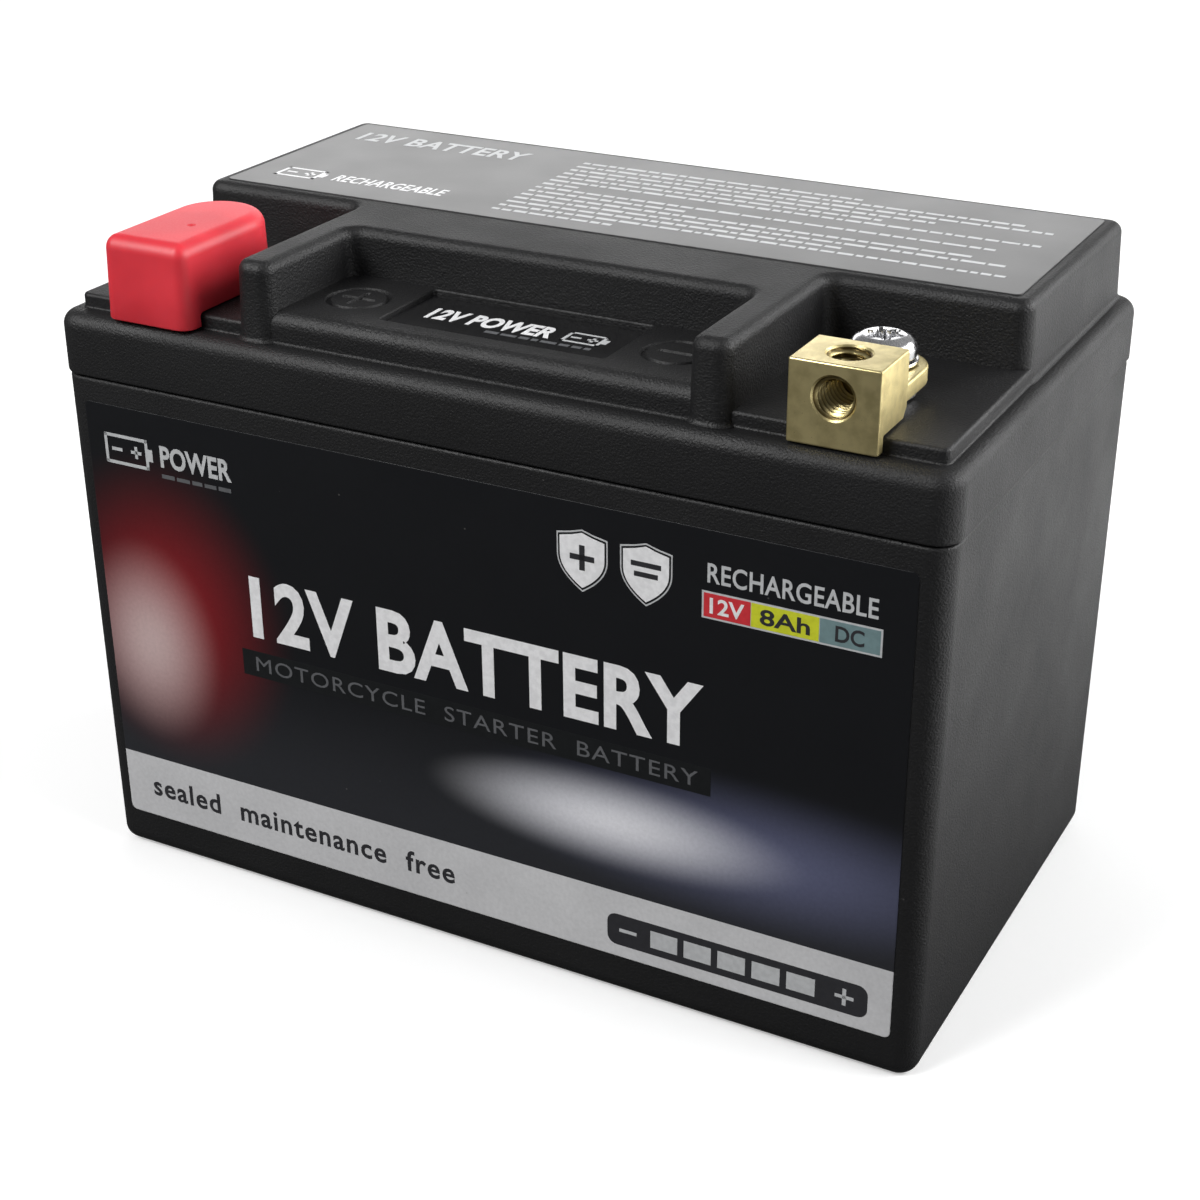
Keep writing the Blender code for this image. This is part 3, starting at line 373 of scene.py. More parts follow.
# Printed front film: plain soft gradients, warm at the left and pale low at the right. Centres and radii
# are (x, z) on the film.
frontArt = {
    "warmCentre": (-58.0, 48.0), "warmRadii": (26.0, 30.0), "warmColour": (0.30, 0.012, 0.018),
    "paleCentre": (-62.0, 42.0), "paleRadii": (15.0, 20.0), "paleColour": (0.62, 0.48, 0.47),
    "coolCentre": (46.0, 32.0), "coolRadii": (52.0, 14.0), "coolColour": (0.13, 0.14, 0.24),
    "brightCentre": (24.0, 31.5), "brightRadii": (34.0, 9.0), "brightColour": (0.80, 0.80, 0.84),
    "bandTop": 19.2, "bandColour": (0.56, 0.56, 0.57),
}


def frontFilm():
    art = frontArt
    material, tree, shader = newMaterial("printedFrontFilm")
    where = millimetres(tree)
    z = put(tree, "SeparateXYZ", {0: where}).outputs["Z"]
    colour = mixColour(tree, remap(tree, z, 48.0, 20.0), (0.0055, 0.006, 0.0075), (0.022, 0.023, 0.027))
    for kind, amount in (("warm", 0.8), ("pale", 0.85), ("cool", 0.8), ("bright", 0.95)):
        centre, radii = art[kind + "Centre"], art[kind + "Radii"]
        inputs = {"Position": where, "Centre": (centre[0], 0, centre[1]), "Radii": (radii[0], 1e6, radii[1])}
        spot = effect(tree, softSpot, inputs)["Strength"]
        colour = mixColour(tree, calc(tree, "MULTIPLY", spot, amount), colour, art[kind + "Colour"])
    band = calc(tree, "LESS_THAN", z, art["bandTop"])
    paper = noiseAt(tree, where, 0.05)
    white = mixColour(tree, remap(tree, paper, 0.3, 0.7), art["bandColour"], (0.63, 0.63, 0.64))
    colour = mixColour(tree, band, colour, white)
    mottle = noiseAt(tree, where, 1.6)
    level = remap(tree, mottle, 0.2, 0.8, 0.93, 1.07, "LINEAR")
    colour = mixColour(tree, 1.0, colour, put(tree, "CombineColor",
        {0: level, 1: level, 2: level}).outputs[0], "MULTIPLY")
    dust = effect(tree, dustSpecks, {"Position": where, "Amount": 0.04})["Mask"]
    colour = mixColour(tree, calc(tree, "MULTIPLY", dust, 0.3), colour, (0.25, 0.24, 0.23))
    tree.links.new(colour, shader.inputs["Base Color"])
    shader.inputs["Specular IOR Level"].default_value = 0.28
    filmSurface(tree, shader, where, 0.36)
    return material


# Laid-down film: slow waves under a fine satin texture.
def filmSurface(tree, shader, where, roughness, wave=0.25):
    waves = noiseAt(tree, where, 0.09)
    satin = noiseAt(tree, where, 2.4)
    tree.links.new(remap(tree, waves, 0.3, 0.7, roughness - 0.16 * wave, roughness + 0.2 * wave, "LINEAR"),
        shader.inputs["Roughness"])
    first = put(tree, "Bump", {"Height": waves, "Strength": wave, "Distance": 0.25 * mm}).outputs[0]
    bump(tree, shader, satin, 0.18, 0.03, first)


topFilmLook = {"colour": (0.014, 0.014, 0.0145), "roughness": 0.30}


def topFilm():
    material, tree, shader = newMaterial("darkTopFilm")
    where = millimetres(tree)
    grain = effect(tree, mouldedGrain, {"Position": where, "Size": 0.5})
    tint = mixColour(tree, remap(tree, grain["Broad"], 0.3, 0.7), topFilmLook["colour"], (0.02, 0.02, 0.02))
    dust = effect(tree, dustSpecks, {"Position": where, "Amount": 0.06})["Mask"]
    tint = mixColour(tree, calc(tree, "MULTIPLY", dust, 0.3), tint, (0.3, 0.29, 0.28))
    tree.links.new(tint, shader.inputs["Base Color"])
    filmSurface(tree, shader, where, topFilmLook["roughness"], 0.08)
    return material


def insetFilm():
    material, tree, shader = newMaterial("glossInsetFilm")
    where = millimetres(tree)
    rubs = effect(tree, rubMarks, {"Position": where, "Turn": 1.2})["Mask"]
    tree.links.new(mixColour(tree, calc(tree, "MULTIPLY", rubs, 0.25), (0.004, 0.004, 0.0045),
        (0.03, 0.03, 0.03)), shader.inputs["Base Color"])
    filmSurface(tree, shader, where, 0.16)
    return material


# Printing ink with a little mottle, so that solid print isn't one flat value.
def ink(name, colour, roughness=0.42, spread=0.12):
    material, tree, shader = newMaterial(name)
    where = millimetres(tree)
    mottle = noiseAt(tree, where, 1.1, 3.0)
    dark = tuple(c * (1 - spread) for c in colour)
    tree.links.new(mixColour(tree, remap(tree, mottle, 0.3, 0.7), dark, colour), shader.inputs["Base Color"])
    tree.links.new(remap(tree, mottle, 0.3, 0.7, roughness - 0.05, roughness + 0.05, "LINEAR"),
        shader.inputs["Roughness"])
    shader.inputs["Specular IOR Level"].default_value = 0.35
    bump(tree, shader, mottle, 0.15, 0.02)
    return material


blockSizes = {
    "half": 6.6, "front": -41.7, "back": -31.4, "top": 109.8, "base": 100.2, "lip": 97.9, "lipBack": -39.8,
    "tangLow": 101.8, "tangHigh": 104.6, "edge": 0.3, "frontBoreZ": 105.0, "topBoreY": -36.5,
    "boreEnd": -32.6, "threadMean": 2.73, "threadDepth": 0.27, "threadPitch": 1.0, "mouth": 3.3,
}

# bright and dull are random tone and stain is real staining; the last colour is painted shade for the inside
# of the threaded bores
brassLook = {
    "bright": (0.83, 0.71, 0.36), "dull": (0.62, 0.52, 0.25), "stain": (0.16, 0.11, 0.05),
    "paintedBoreShade": (0.10, 0.065, 0.02),
}


def brass():
    material, tree, shader = newMaterial("sawnBrass")
    where = millimetres(tree)
    cloud = noiseAt(tree, where, 0.35, 4.0)
    fine = put(tree, "TexNoise", {"Vector": where, "Scale": 3.5, "Detail": 3.0,
        "Roughness": 0.7}).outputs["Fac"]
    pits = put(tree, "TexVoronoi", {"Vector": where, "Scale": 0.9}).outputs["Distance"]
    tint = mixColour(tree, remap(tree, cloud, 0.35, 0.7), brassLook["bright"], brassLook["dull"])
    spots = calc(tree, "MULTIPLY", remap(tree, pits, 0.02, 0.10, 1.0, 0.0), remap(tree, fine, 0.45, 0.6))
    tint = mixColour(tree, calc(tree, "MULTIPLY", spots, 0.6), tint, brassLook["stain"])
    part = put(tree, "SeparateXYZ", {0: where}).outputs
    fromAxis = calc(tree, "SUBTRACT", calc(tree, "ABSOLUTE", part["X"]), terminalX)

    # Painted shade in a threaded bore: the colour darkens inside the bore, least on the thread's crests and
    # most in its grooves
    def paintedBoreShade(place, middle, kept):
        away = put(tree, "CombineXYZ", {0: fromAxis, 1: calc(tree, "SUBTRACT", place, middle)}).outputs[0]
        reach = put(tree, "VectorMath", {0: away}, operation="LENGTH").outputs["Value"]
        inside = calc(tree, "LESS_THAN", reach, blockSizes["mouth"] - 0.25)
        low = blockSizes["threadMean"] - blockSizes["threadDepth"]
        return calc(tree, "MULTIPLY", calc(tree, "MULTIPLY", remap(tree, reach, low, low + 0.5, 0.25, 0.92),
            inside), kept)

    # front and the next mask are the painted shade of the front bore and of the top bore
    front = paintedBoreShade(part["Z"], blockSizes["frontBoreZ"], calc(tree, "LESS_THAN", part["Y"],
        blockSizes["boreEnd"]))
    topBorePaintedShade = paintedBoreShade(part["Y"], blockSizes["topBoreY"], calc(tree, "GREATER_THAN", part["Z"],
        blockSizes["frontBoreZ"]))
    tint = mixColour(tree, calc(tree, "MAXIMUM", front, topBorePaintedShade), tint, brassLook["paintedBoreShade"])
    tree.links.new(tint, shader.inputs["Base Color"])
    shader.inputs["Metallic"].default_value = 1.0
    facing = put(tree, "SeparateXYZ", {0: put(tree, "TexCoord").outputs["Normal"]}).outputs
    side = calc(tree, "ABSOLUTE", facing["X"])
    cast = remap(tree, side, 0.6, 0.9)
    rough = calc(tree, "ADD", remap(tree, fine, 0.3, 0.7, 0.30, 0.40, "LINEAR"),
        calc(tree, "MULTIPLY", cast, 0.12))
    tree.links.new(rough, shader.inputs["Roughness"])
    milled = put(tree, "VectorMath", {0: where, 1: (3.0, 3.0, 0.12)}, operation="MULTIPLY").outputs[0]
    lines = noiseAt(tree, milled, 1.4)
    height = calc(tree, "ADD", calc(tree, "MULTIPLY", fine,
        calc(tree, "ADD", calc(tree, "MULTIPLY", cast, 1.6), 0.35)), calc(tree, "MULTIPLY", lines, 0.3))
    bump(tree, shader, height, 0.35, 0.09)
    return material


def platedSteel(name="brightPlating", roughness=0.17):
    material, tree, shader = newMaterial(name)
    where = millimetres(tree)
    fine = noiseAt(tree, where, 1.8, 3.0)
    rubs = effect(tree, rubMarks, {"Position": where, "Turn": 0.9})["Mask"]
    tint = mixColour(tree, remap(tree, fine, 0.35, 0.7), (0.62, 0.62, 0.63), (0.48, 0.48, 0.49))
    tree.links.new(tint, shader.inputs["Base Color"])
    shader.inputs["Metallic"].default_value = 1.0
    rough = calc(tree, "ADD", remap(tree, fine, 0.3, 0.7, roughness - 0.04, roughness + 0.07, "LINEAR"),
        calc(tree, "MULTIPLY", rubs, 0.12))
    tree.links.new(rough, shader.inputs["Roughness"])
    bump(tree, shader, fine, 0.12, 0.05)
    return material


capLook = {"colour": (0.62, 0.024, 0.04), "paler": (0.80, 0.045, 0.065), "roughness": 0.42}


def capRubber():
    material, tree, shader = newMaterial("softRedCap")
    where = millimetres(tree)
    grain = effect(tree, mouldedGrain, {"Position": where, "Size": 0.35})
    dust = effect(tree, dustSpecks, {"Position": where, "Amount": 0.10})["Mask"]
    tint = mixColour(tree, remap(tree, grain["Broad"], 0.3, 0.7), capLook["colour"], capLook["paler"])
    tint = mixColour(tree, calc(tree, "MULTIPLY", dust, 0.22), tint, (0.8, 0.5, 0.5))
    tree.links.new(tint, shader.inputs["Base Color"])
    tree.links.new(remap(tree, grain["Tone"], 0.3, 0.7, capLook["roughness"] - 0.03,
        capLook["roughness"] + 0.07, "LINEAR"), shader.inputs["Roughness"])
    shader.inputs["Subsurface Weight"].default_value = 0.35
    shader.inputs["Subsurface Radius"].default_value = (1.0, 0.25, 0.2)
    shader.inputs["Subsurface Scale"].default_value = 1.2 * mm
    bump(tree, shader, grain["Height"], 0.12, 0.03)
    return material


# Inner finishes: two tones, a noise scale per millimetre, a stretch of that noise, a roughness range, metal
# or not, and bump.
innerLooks = {
    "cellSleeve": ((0.02, 0.12, 0.36), (0.03, 0.17, 0.45), 0.4, (1, 1, 0.15), (0.22, 0.34), 0.0, 0.10),
    "trayPlastic": ((0.030, 0.031, 0.034), (0.050, 0.051, 0.055), 1.8, (1, 1, 1), (0.50, 0.66), 0.0, 0.30),
    "nickelStrip": ((0.56, 0.54, 0.50), (0.68, 0.66, 0.61), 1.2, (0.1, 2.0, 1), (0.28, 0.42), 1.0, 0.15),
    "copperStrap": ((0.62, 0.30, 0.19), (0.78, 0.42, 0.28), 0.7, (1, 0.2, 1), (0.30, 0.46), 1.0, 0.18),
    "chipPlastic": ((0.014, 0.014, 0.015), (0.026, 0.026, 0.028), 4.0, (1, 1, 1), (0.48, 0.60), 0.0, 0.25),
    "connectorPlastic": ((0.72, 0.69, 0.60), (0.82, 0.79, 0.70), 0.8, (1, 1, 1), (0.38, 0.50), 0.0, 0.10),
    "wireJacket": ((0.45, 0.015, 0.018), (0.62, 0.03, 0.03), 0.9, (1, 1, 1), (0.34, 0.46), 0.0, 0.12),
    "sealRubber": ((0.012, 0.012, 0.012), (0.028, 0.027, 0.026), 3.0, (1, 1, 1), (0.62, 0.78), 0.0, 0.30),
}


def innerFinish(name):
    low, high, scale, stretch, rough, metal, lift = innerLooks[name]
    material, tree, shader = newMaterial(name)
    where = put(tree, "VectorMath", {0: millimetres(tree), 1: stretch}, operation="MULTIPLY").outputs[0]
    noise = noiseAt(tree, where, scale, 4.0)
    tree.links.new(mixColour(tree, remap(tree, noise, 0.3, 0.7), low, high), shader.inputs["Base Color"])
    tree.links.new(remap(tree, noise, 0.3, 0.7, rough[0], rough[1], "LINEAR"), shader.inputs["Roughness"])
    shader.inputs["Metallic"].default_value = metal
    bump(tree, shader, noise, lift, 0.08)
    return material


# Solder mask over a grid of tracks: the joints of a brick pattern lift and pale the green.
def boardLaminate():
    material, tree, shader = newMaterial("boardLaminate")
    where = millimetres(tree)
    bricks = put(tree, "TexBrick", {"Vector": where, "Scale": 0.28, "Mortar Size": 0.05,
        "Color1": (0, 0, 0, 1), "Color2": (0.2, 0.2, 0.2, 1), "Mortar": (1, 1, 1, 1)}).outputs["Color"]
    weave = noiseAt(tree, where, 1.2)
    tint = mixColour(tree, put(tree, "RGBToBW", {0: bricks}).outputs[0], (0.006, 0.10, 0.035),
        (0.02, 0.24, 0.09))
    tree.links.new(tint, shader.inputs["Base Color"])
    tree.links.new(remap(tree, weave, 0.3, 0.7, 0.30, 0.42, "LINEAR"), shader.inputs["Roughness"])
    bump(tree, shader, put(tree, "RGBToBW", {0: bricks}).outputs[0], 0.3, 0.04)
    return material


# Closed-cell foam: open bubbles on cut faces, with painted shade that darkens the colour inside each bubble.
def foamFinish():
    material, tree, shader = newMaterial("greyCellFoam")
    where = millimetres(tree)
    bubbles = put(tree, "TexVoronoi", {"Vector": where, "Scale": 1.1}).outputs["Distance"]
    small = put(tree, "TexVoronoi", {"Vector": where, "Scale": 2.7}).outputs["Distance"]
    depth = calc(tree, "ADD", bubbles, calc(tree, "MULTIPLY", small, 0.5))
    tree.links.new(mixColour(tree, remap(tree, depth, 0.2, 0.9), (0.07, 0.07, 0.075), (0.19, 0.19, 0.20)),
        shader.inputs["Base Color"])
    tree.links.new(remap(tree, depth, 0.2, 0.9, 0.98, 0.86, "LINEAR"), shader.inputs["Roughness"])
    shader.inputs["Sheen Weight"].default_value = 0.15
    bump(tree, shader, depth, 0.6, 0.3)
    return material


finishes = {
    "shell": shellPlastic(), "frontFilm": frontFilm(), "topFilm": topFilm(), "insetFilm": insetFilm(),
    "brass": brass(), "steel": platedSteel(), "bushSteel": platedSteel("bushPlating", 0.26),
    "cap": capRubber(), "board": boardLaminate(), "foam": foamFinish(),
}
finishes.update({name: innerFinish(name) for name in innerLooks})
inks = {
    "white": ink("whiteInk", (0.86, 0.86, 0.87)), "grey": ink("greyInk", (0.115, 0.118, 0.125)),
    "dark": ink("darkInk", (0.028, 0.028, 0.032)), "strip": ink("stripInk", (0.007, 0.008, 0.009), 0.34),
    "red": ink("redInk", (0.62, 0.035, 0.045)), "yellow": ink("yellowInk", (0.62, 0.66, 0.03)),
    "teal": ink("tealInk", (0.17, 0.26, 0.27)), "silver": ink("silverInk", (0.55, 0.56, 0.57)),
}
print("finishes made:", len(finishes) + len(inks))


shellSizes = {
    "corner": 4.0, "baseFillet": 2.6, "rimRound": 0.45, "wall": 2.0, "tongue": 1.3, "tongueHeight": 2.4,
}
lidHalfX, lidHalfY = lidHigh[0], lidHigh[1]
rimZ = caseHigh[2] - shellSizes["tongueHeight"] - 0.15
draft = {"top": 0.3, "extra": 0.45}


def shellOutline(inset, steps=9):
    corners = boxCorners(-lidHalfX, lidHalfX, -lidHalfY, lidHalfY)
    return roundedOutline(corners, shellSizes["corner"], inset, steps)


# inset of the drafted wall at height z: top + extra (1 - z / seam)
def wallInset(z):
    return draft["top"] + draft["extra"] * (1 - np.asarray(z) / (rimZ + 0.15))


# Outer wall from a quarter-round base, inset(a) = wall + r (1 - sin a), z = r (1 - cos a), up the draft to
# a softened rim, then the tongue that stands inside the lid, and down the inner wall to the floor.
def caseShell():
    fillet = shellSizes["baseFillet"]
    rim = shellSizes["rimRound"]
    levels = [(shellOutline(wallInset(0) + fillet + 0.4), 0.0)]
    for a in np.linspace(0, math.pi / 2, 9):
        z = fillet * (1 - math.cos(a))
        levels.append((shellOutline(wallInset(z) + fillet * (1 - math.sin(a))), z))
    levels += [(shellOutline(wallInset(z)), z) for z in (fillet + 0.4, rimZ - rim - 0.3)]
    for a in np.linspace(0, math.pi / 2, 5):
        levels.append((shellOutline(wallInset(rimZ) + rim * (1 - math.cos(a))),
            rimZ - rim * (1 - math.sin(a))))
    top = rimZ + 0.15 + shellSizes["tongueHeight"]
    levels += [(shellOutline(shellSizes["tongue"]), z) for z in (rimZ, top)]
    inner = draft["top"] + shellSizes["wall"]
    levels += [(shellOutline(inner), top), (shellOutline(inner + draft["extra"]), shellSizes["wall"])]
    return pieceFrom("batteryCase", ringStack(levels), finishes["shell"])


place(caseShell(), "battery", "shell_plastic", "case")
print("case made")


lidSizes = {
    "deck": 97.6, "bayPad": 99.9, "centrePad": 102.4, "top": lidHigh[2], "deckFillet": 2.4,
    "plateauFillet": 1.8, "plateauCorner": 2.4, "plateauDraft": 0.35, "flare": 0.9, "plateauX": 71.8,
    "plateauBack": 41.5, "plateauFront": -6.3, "recessWall": -18.0, "ribOuter": 40.9, "ribInner": 34.7,
    "ribFront": -40.8, "bayPadFront": -39.5, "bayPadEnd": 72.1, "centrePadFront": -40.1,
    "centreFillet": 2.2, "markX": 27.0, "markY": -28.2, "markRadius": 5.1, "markStroke": 0.75,
    "markSink": 0.5, "markBar": 5.8, "insetX": 19.0, "insetFront": -35.1, "insetBack": -19.1,
    "insetDrop": 0.9,
}


# Concave foot of a wall on a flat: inset = -draft - f (1 - sin a), z = foot + f (1 - cos a), for a from 25
# to 90 degrees.
def flaredFoot(outlineAt, foot, flare, draftBelow):
    angles = np.radians(np.linspace(25, 90, 6))
    first = -draftBelow - flare * (1 - math.sin(angles[0]))
    levels = [(outlineAt(first), foot - 1.2)]
    for a in angles:
        levels.append((outlineAt(-draftBelow - flare * (1 - math.sin(a))), foot + flare * (1 - math.cos(a))))
    return levels


def plateauComb():
    s = lidSizes
    half = [
        (s["ribInner"], s["recessWall"]), (s["ribInner"], s["ribFront"]), (s["ribOuter"], s["ribFront"]),
        (s["ribOuter"], s["plateauFront"]), (s["plateauX"], s["plateauFront"]),
        (s["plateauX"], s["plateauBack"]),
    ]
    corners = [(-x, y) for x, y in reversed(half)] + half

    def outlineAt(inset):
        return roundedOutline(corners, s["plateauCorner"], inset, 8)

    levels = flaredFoot(outlineAt, s["deck"], s["flare"], s["plateauDraft"])
    levels += roundTop(outlineAt, s["top"], s["plateauFillet"], 0.0, 9, 0.3)
    return pieceFrom("plateauTool", ringStack(levels))


def padTool(name, corners, cornerRadius, top, fillet, flare):
    def outlineAt(inset):
        return roundedOutline(corners, cornerRadius, inset, 6, 0.2)

    levels = flaredFoot(outlineAt, lidSizes["deck"], flare, 0.0)
    levels += roundTop(outlineAt, top, fillet, 0.0, 7)
    return pieceFrom(name, ringStack(levels))


def flatTool(name, outlineAt, levels):
    return pieceFrom(name, ringStack([(outlineAt(inset), z) for z, inset in levels]))


# Groove with flared rims, turned about an upright axis: its closed section is widest at the surface.
def grooveRing(x, y, top):
    s = lidSizes
    outer, inner, floor = s["markRadius"], s["markRadius"] - s["markStroke"], top - s["markSink"]
    section = [
        (inner + 0.12, floor), (outer - 0.12, floor), (outer, top - 0.14), (outer + 0.16, top + 0.03),
        (outer + 0.16, top + 1.0), (inner - 0.16, top + 1.0), (inner - 0.16, top + 0.03), (inner, top - 0.14),
    ]
    return pieceFrom("ringTool", lathe(section, (x, y), 64), wrap=True)


def grooveBar(x, y, halfX, halfY, top):
    def outlineAt(inset):
        return roundedOutline(boxCorners(x - halfX, x + halfX, y - halfY, y + halfY), 0.3, inset, 4, 0.05)

    floor = top - lidSizes["markSink"]
    return flatTool("barTool", outlineAt, [(floor, 0.12), (top - 0.14, 0.0), (top + 0.03, -0.16),
        (top + 1.0, -0.16)])


def lidShell():
    s = lidSizes
    seam = lidLow[2]
    levels = [(shellOutline(0.45), seam)]
    levels += [(shellOutline(0.45 * (1 - math.sin(a))),
        seam + 0.45 * (1 - math.cos(a))) for a in np.linspace(0.3, math.pi / 2, 5)]
    levels += roundTop(shellOutline, s["deck"], s["deckFillet"], 0.0, 9)
    lid = pieceFrom("batteryLid", ringStack(levels), finishes["shell"])
    inside = (s["ribInner"] + s["ribOuter"]) / 2
    back = s["plateauFront"] + 3.4
    raised = [plateauComb()]
    for side in (-1, 1):
        near, far = sorted((side * inside, side * s["bayPadEnd"]))
        raised.append(padTool("bayPadTool", boxCorners(near, far, s["bayPadFront"], back), 1.2, s["bayPad"],
            0.55, 0.35))
    centre = boxCorners(-inside, inside, s["centrePadFront"], s["recessWall"] + 3.4)
    raised.append(padTool("centrePadTool", centre, 2.6, s["centrePad"], s["centreFillet"], 0.5))
    carve(lid, raised, "UNION")
    top = s["centrePad"]
    halfBar, halfStroke = s["markBar"] / 2, s["markStroke"] / 2
    tools = [grooveRing(side * s["markX"], s["markY"], top) for side in (-1, 1)]
    tools += [grooveBar(side * s["markX"], s["markY"], halfBar, halfStroke, top) for side in (-1, 1)]
    tools.append(grooveBar(-s["markX"], s["markY"], halfStroke, halfBar, top))

    def pocketOutline(inset):
        return roundedOutline(boxCorners(-s["insetX"], s["insetX"], s["insetFront"], s["insetBack"]), 0.6,
            inset, 5, 0.1)

    floor = top - s["insetDrop"]
    tools.append(flatTool("pocketTool", pocketOutline, [(floor, 0.05), (top - 0.2, 0.0), (top + 0.03, -0.22),
        (top + 1.0, -0.22)]))
    ceiling = s["deck"] - 2.0
    lip = seam + 2.55
    tools.append(flatTool("skirtHollowTool", shellOutline, [(seam - 1.0, 1.0), (lip, 1.0), (lip + 0.001, 2.0),
        (ceiling, 2.0)]))
    x, innerX = s["plateauX"] - 2.0, s["ribOuter"] - 2.0
    front, wall, rear = s["plateauFront"] + 2.0, s["recessWall"] + 2.0, s["plateauBack"] - 2.0
    corners = [(-x, rear), (-x, front), (-innerX, front), (-innerX, wall), (innerX, wall), (innerX, front),
        (x, front), (x, rear)]
    tools.append(flatTool("plateauHollowTool", lambda inset: roundedOutline(corners, 1.0, inset, 3, 0.2),
        [(ceiling - 0.5, 0.0), (s["top"] - 2.5, 0.0)]))
    for side in (-1, 1):
        tools.append(pieceFrom("bushHoleTool", lathe([(4.5, ceiling - 1), (4.5, s["bayPad"] + 1)],
            (side * terminalX, screwY), 48)))
    return carve(lid, tools)


place(lidShell(), "battery", "shell_plastic", "lid")
print("lid made")


filmSizes = {
    "frontX": 70.5, "frontLow": 7.2, "frontHigh": 83.4, "topX": 69.3, "topFront": -3.8, "topBack": 39.0,
    "insetX": 18.7, "insetFront": -34.8, "insetBack": -19.4, "lift": 0.13,
}
caseWallY = -lidHalfY


# depth y of the case's front wall at height z, less a lift off the wall
def frontY(z, lift):
    return caseWallY + wallInset(z) - lift


# Film: sunk edge ring, softened rim, then the flat face; onSurface maps (u, v, lift) to a point.
def filmSheet(name, corners, radius, onSurface, material, lift):
    rings = [(0.0, -0.2), (0.0, lift - 0.04), (0.02, lift - 0.01), (0.06, lift), (0.3, lift)]
    grid = np.stack([onSurface(roundedOutline(corners, radius, inset, 6, 0.3), height) for inset,
        height in rings])
    return pieceFrom(name, grid, material, sharp=60)


def onFront(uv, lift):
    return np.column_stack([uv[:, 0], frontY(uv[:, 1], lift), uv[:, 1]])


def onTop(uv, lift):
    return np.column_stack([uv, np.full(len(uv), lidSizes["top"]) + lift])


def onInset(uv, lift):
    return np.column_stack([uv, np.full(len(uv), lidSizes["centrePad"] - lidSizes["insetDrop"]) + lift])


printSink = 0.03


# Flat curves as solid print: the shape is measured, then mapped so that it fills its box of (lowU, highU,
# lowV, highV).
def printText(name, words, box, onSurface, material, lift, weight=0.0, spacing=1.0):
    curve = bpy.data.curves.new(name, "FONT")
    curve.body = words
    curve.offset = weight
    curve.space_character = spacing
    curve.extrude = 0.5
    curve.resolution_u = 4
    return printCurve(name, curve, box, onSurface, material, lift)


def printCurve(name, curve, box, onSurface, material, lift):
    holder = bpy.data.objects.new(name, curve)
    bpy.context.scene.collection.objects.link(holder)
    graph = bpy.context.evaluated_depsgraph_get()
    mesh = bpy.data.meshes.new_from_object(holder.evaluated_get(graph))
    bpy.data.objects.remove(holder, do_unlink=True)
    points = np.zeros(len(mesh.vertices) * 3)
    mesh.vertices.foreach_get("co", points)
    points = points.reshape(-1, 3)
    low, high = points.min(0), points.max(0)
    share = (points - low) / (high - low)
    uv = np.column_stack([box[0] + share[:, 0] * (box[1] - box[0]), box[2] + share[:, 1] * (box[3] - box[2])])
    placed = onSurface(uv, np.where(share[:, 2] > 0.5, lift, lift - printSink))
    mesh.vertices.foreach_set("co", (placed * mm).ravel())
    mesh.materials.clear()
    mesh.materials.append(material)
    mesh.update()
    obj = bpy.data.objects.new(name, mesh)
    bpy.context.scene.collection.objects.link(obj)
    return obj


# Many rectangles (lowU, highU, lowV, highV) as one print: eight corners each, from the film up to lift.
def printBars(name, bars, onSurface, material, lift):
    bars = np.asarray(bars, float)
    u = bars[:, [0, 1, 1, 0]].ravel()
    v = bars[:, [2, 2, 3, 3]].ravel()
    uv = np.column_stack([u, v])
    low = onSurface(uv, np.full(len(uv), lift - printSink)).reshape(-1, 4, 3)
    high = onSurface(uv, np.full(len(uv), lift)).reshape(-1, 4, 3)
    points = np.concatenate([low, high], 1).reshape(-1, 3)
    pattern = np.array([[3, 2, 1, 0], [4, 5, 6, 7], [0, 1, 5, 4], [1, 2, 6, 5], [2, 3, 7, 6], [3, 0, 4, 7]])
    faces = (pattern[None] + 8 * np.arange(len(bars))[:, None, None]).reshape(-1, 4)
    return meshPiece(name, points, faces.tolist(), material, 20)


# Outline print: a closed (u, v) outline raised to lift.
def printOutline(name, outline, onSurface, material, lift):
    grid = np.stack([onSurface(outline, np.full(len(outline), lift - printSink)),
        onSurface(outline, np.full(len(outline), lift))])
    return pieceFrom(name, grid, material, sharp=20)


# Words of greeked text: each line from lowU to highU is broken at random gaps into bars of a given height.
def greekedLines(lines, height, seed, wordRange=(0.9, 3.8), gap=0.5):
    chance = np.random.default_rng(seed)
    bars = []
    for lowU, highU, v in lines:
        at = lowU
        while at < highU - 0.8:
            end = min(at + chance.uniform(*wordRange), highU)
            bars.append((at, end, v, v + height * chance.uniform(0.82, 1.0)))
            at = end + gap
    return bars


# Frame of four bars round (lowU, highU, lowV, highV).
def frameBars(lowU, highU, lowV, highV, thick):
    return [(lowU, highU, lowV, lowV + thick), (lowU, highU, highV - thick, highV),
            (lowU, lowU + thick, lowV, highV), (highU - thick, highU, lowV, highV)]


def ride(obj, slotName="front_label_film"):
    return place(obj, "battery", slotName)


frontWords = {
    "title": "12V BATTERY", "titleBox": (-40.7, 39.3, 47.8, 58.9), "strip": "MOTORCYCLE  STARTER  BATTERY",
    "stripBox": (-40.6, 38.6, 41.7, 44.3), "stripPanel": (-43.2, 40.7, 40.6, 45.3), "kind": "RECHARGEABLE",
    "kindBox": (39.6, 65.1, 75.3, 78.4), "band": "sealed  maintenance  free",
    "bandBox": (-65.1, -4.3, 11.4, 15.4),
}
chips = (("12V", 39.1, 46.3, "red", "white"), ("8Ah", 46.4, 56.6, "yellow", "dark"),
    ("DC", 56.7, 65.6, "teal", "dark"))
filmLift = filmSizes["lift"]
inkOne, inkTwo, inkThree = filmLift + 0.02, filmLift + 0.045, filmLift + 0.07


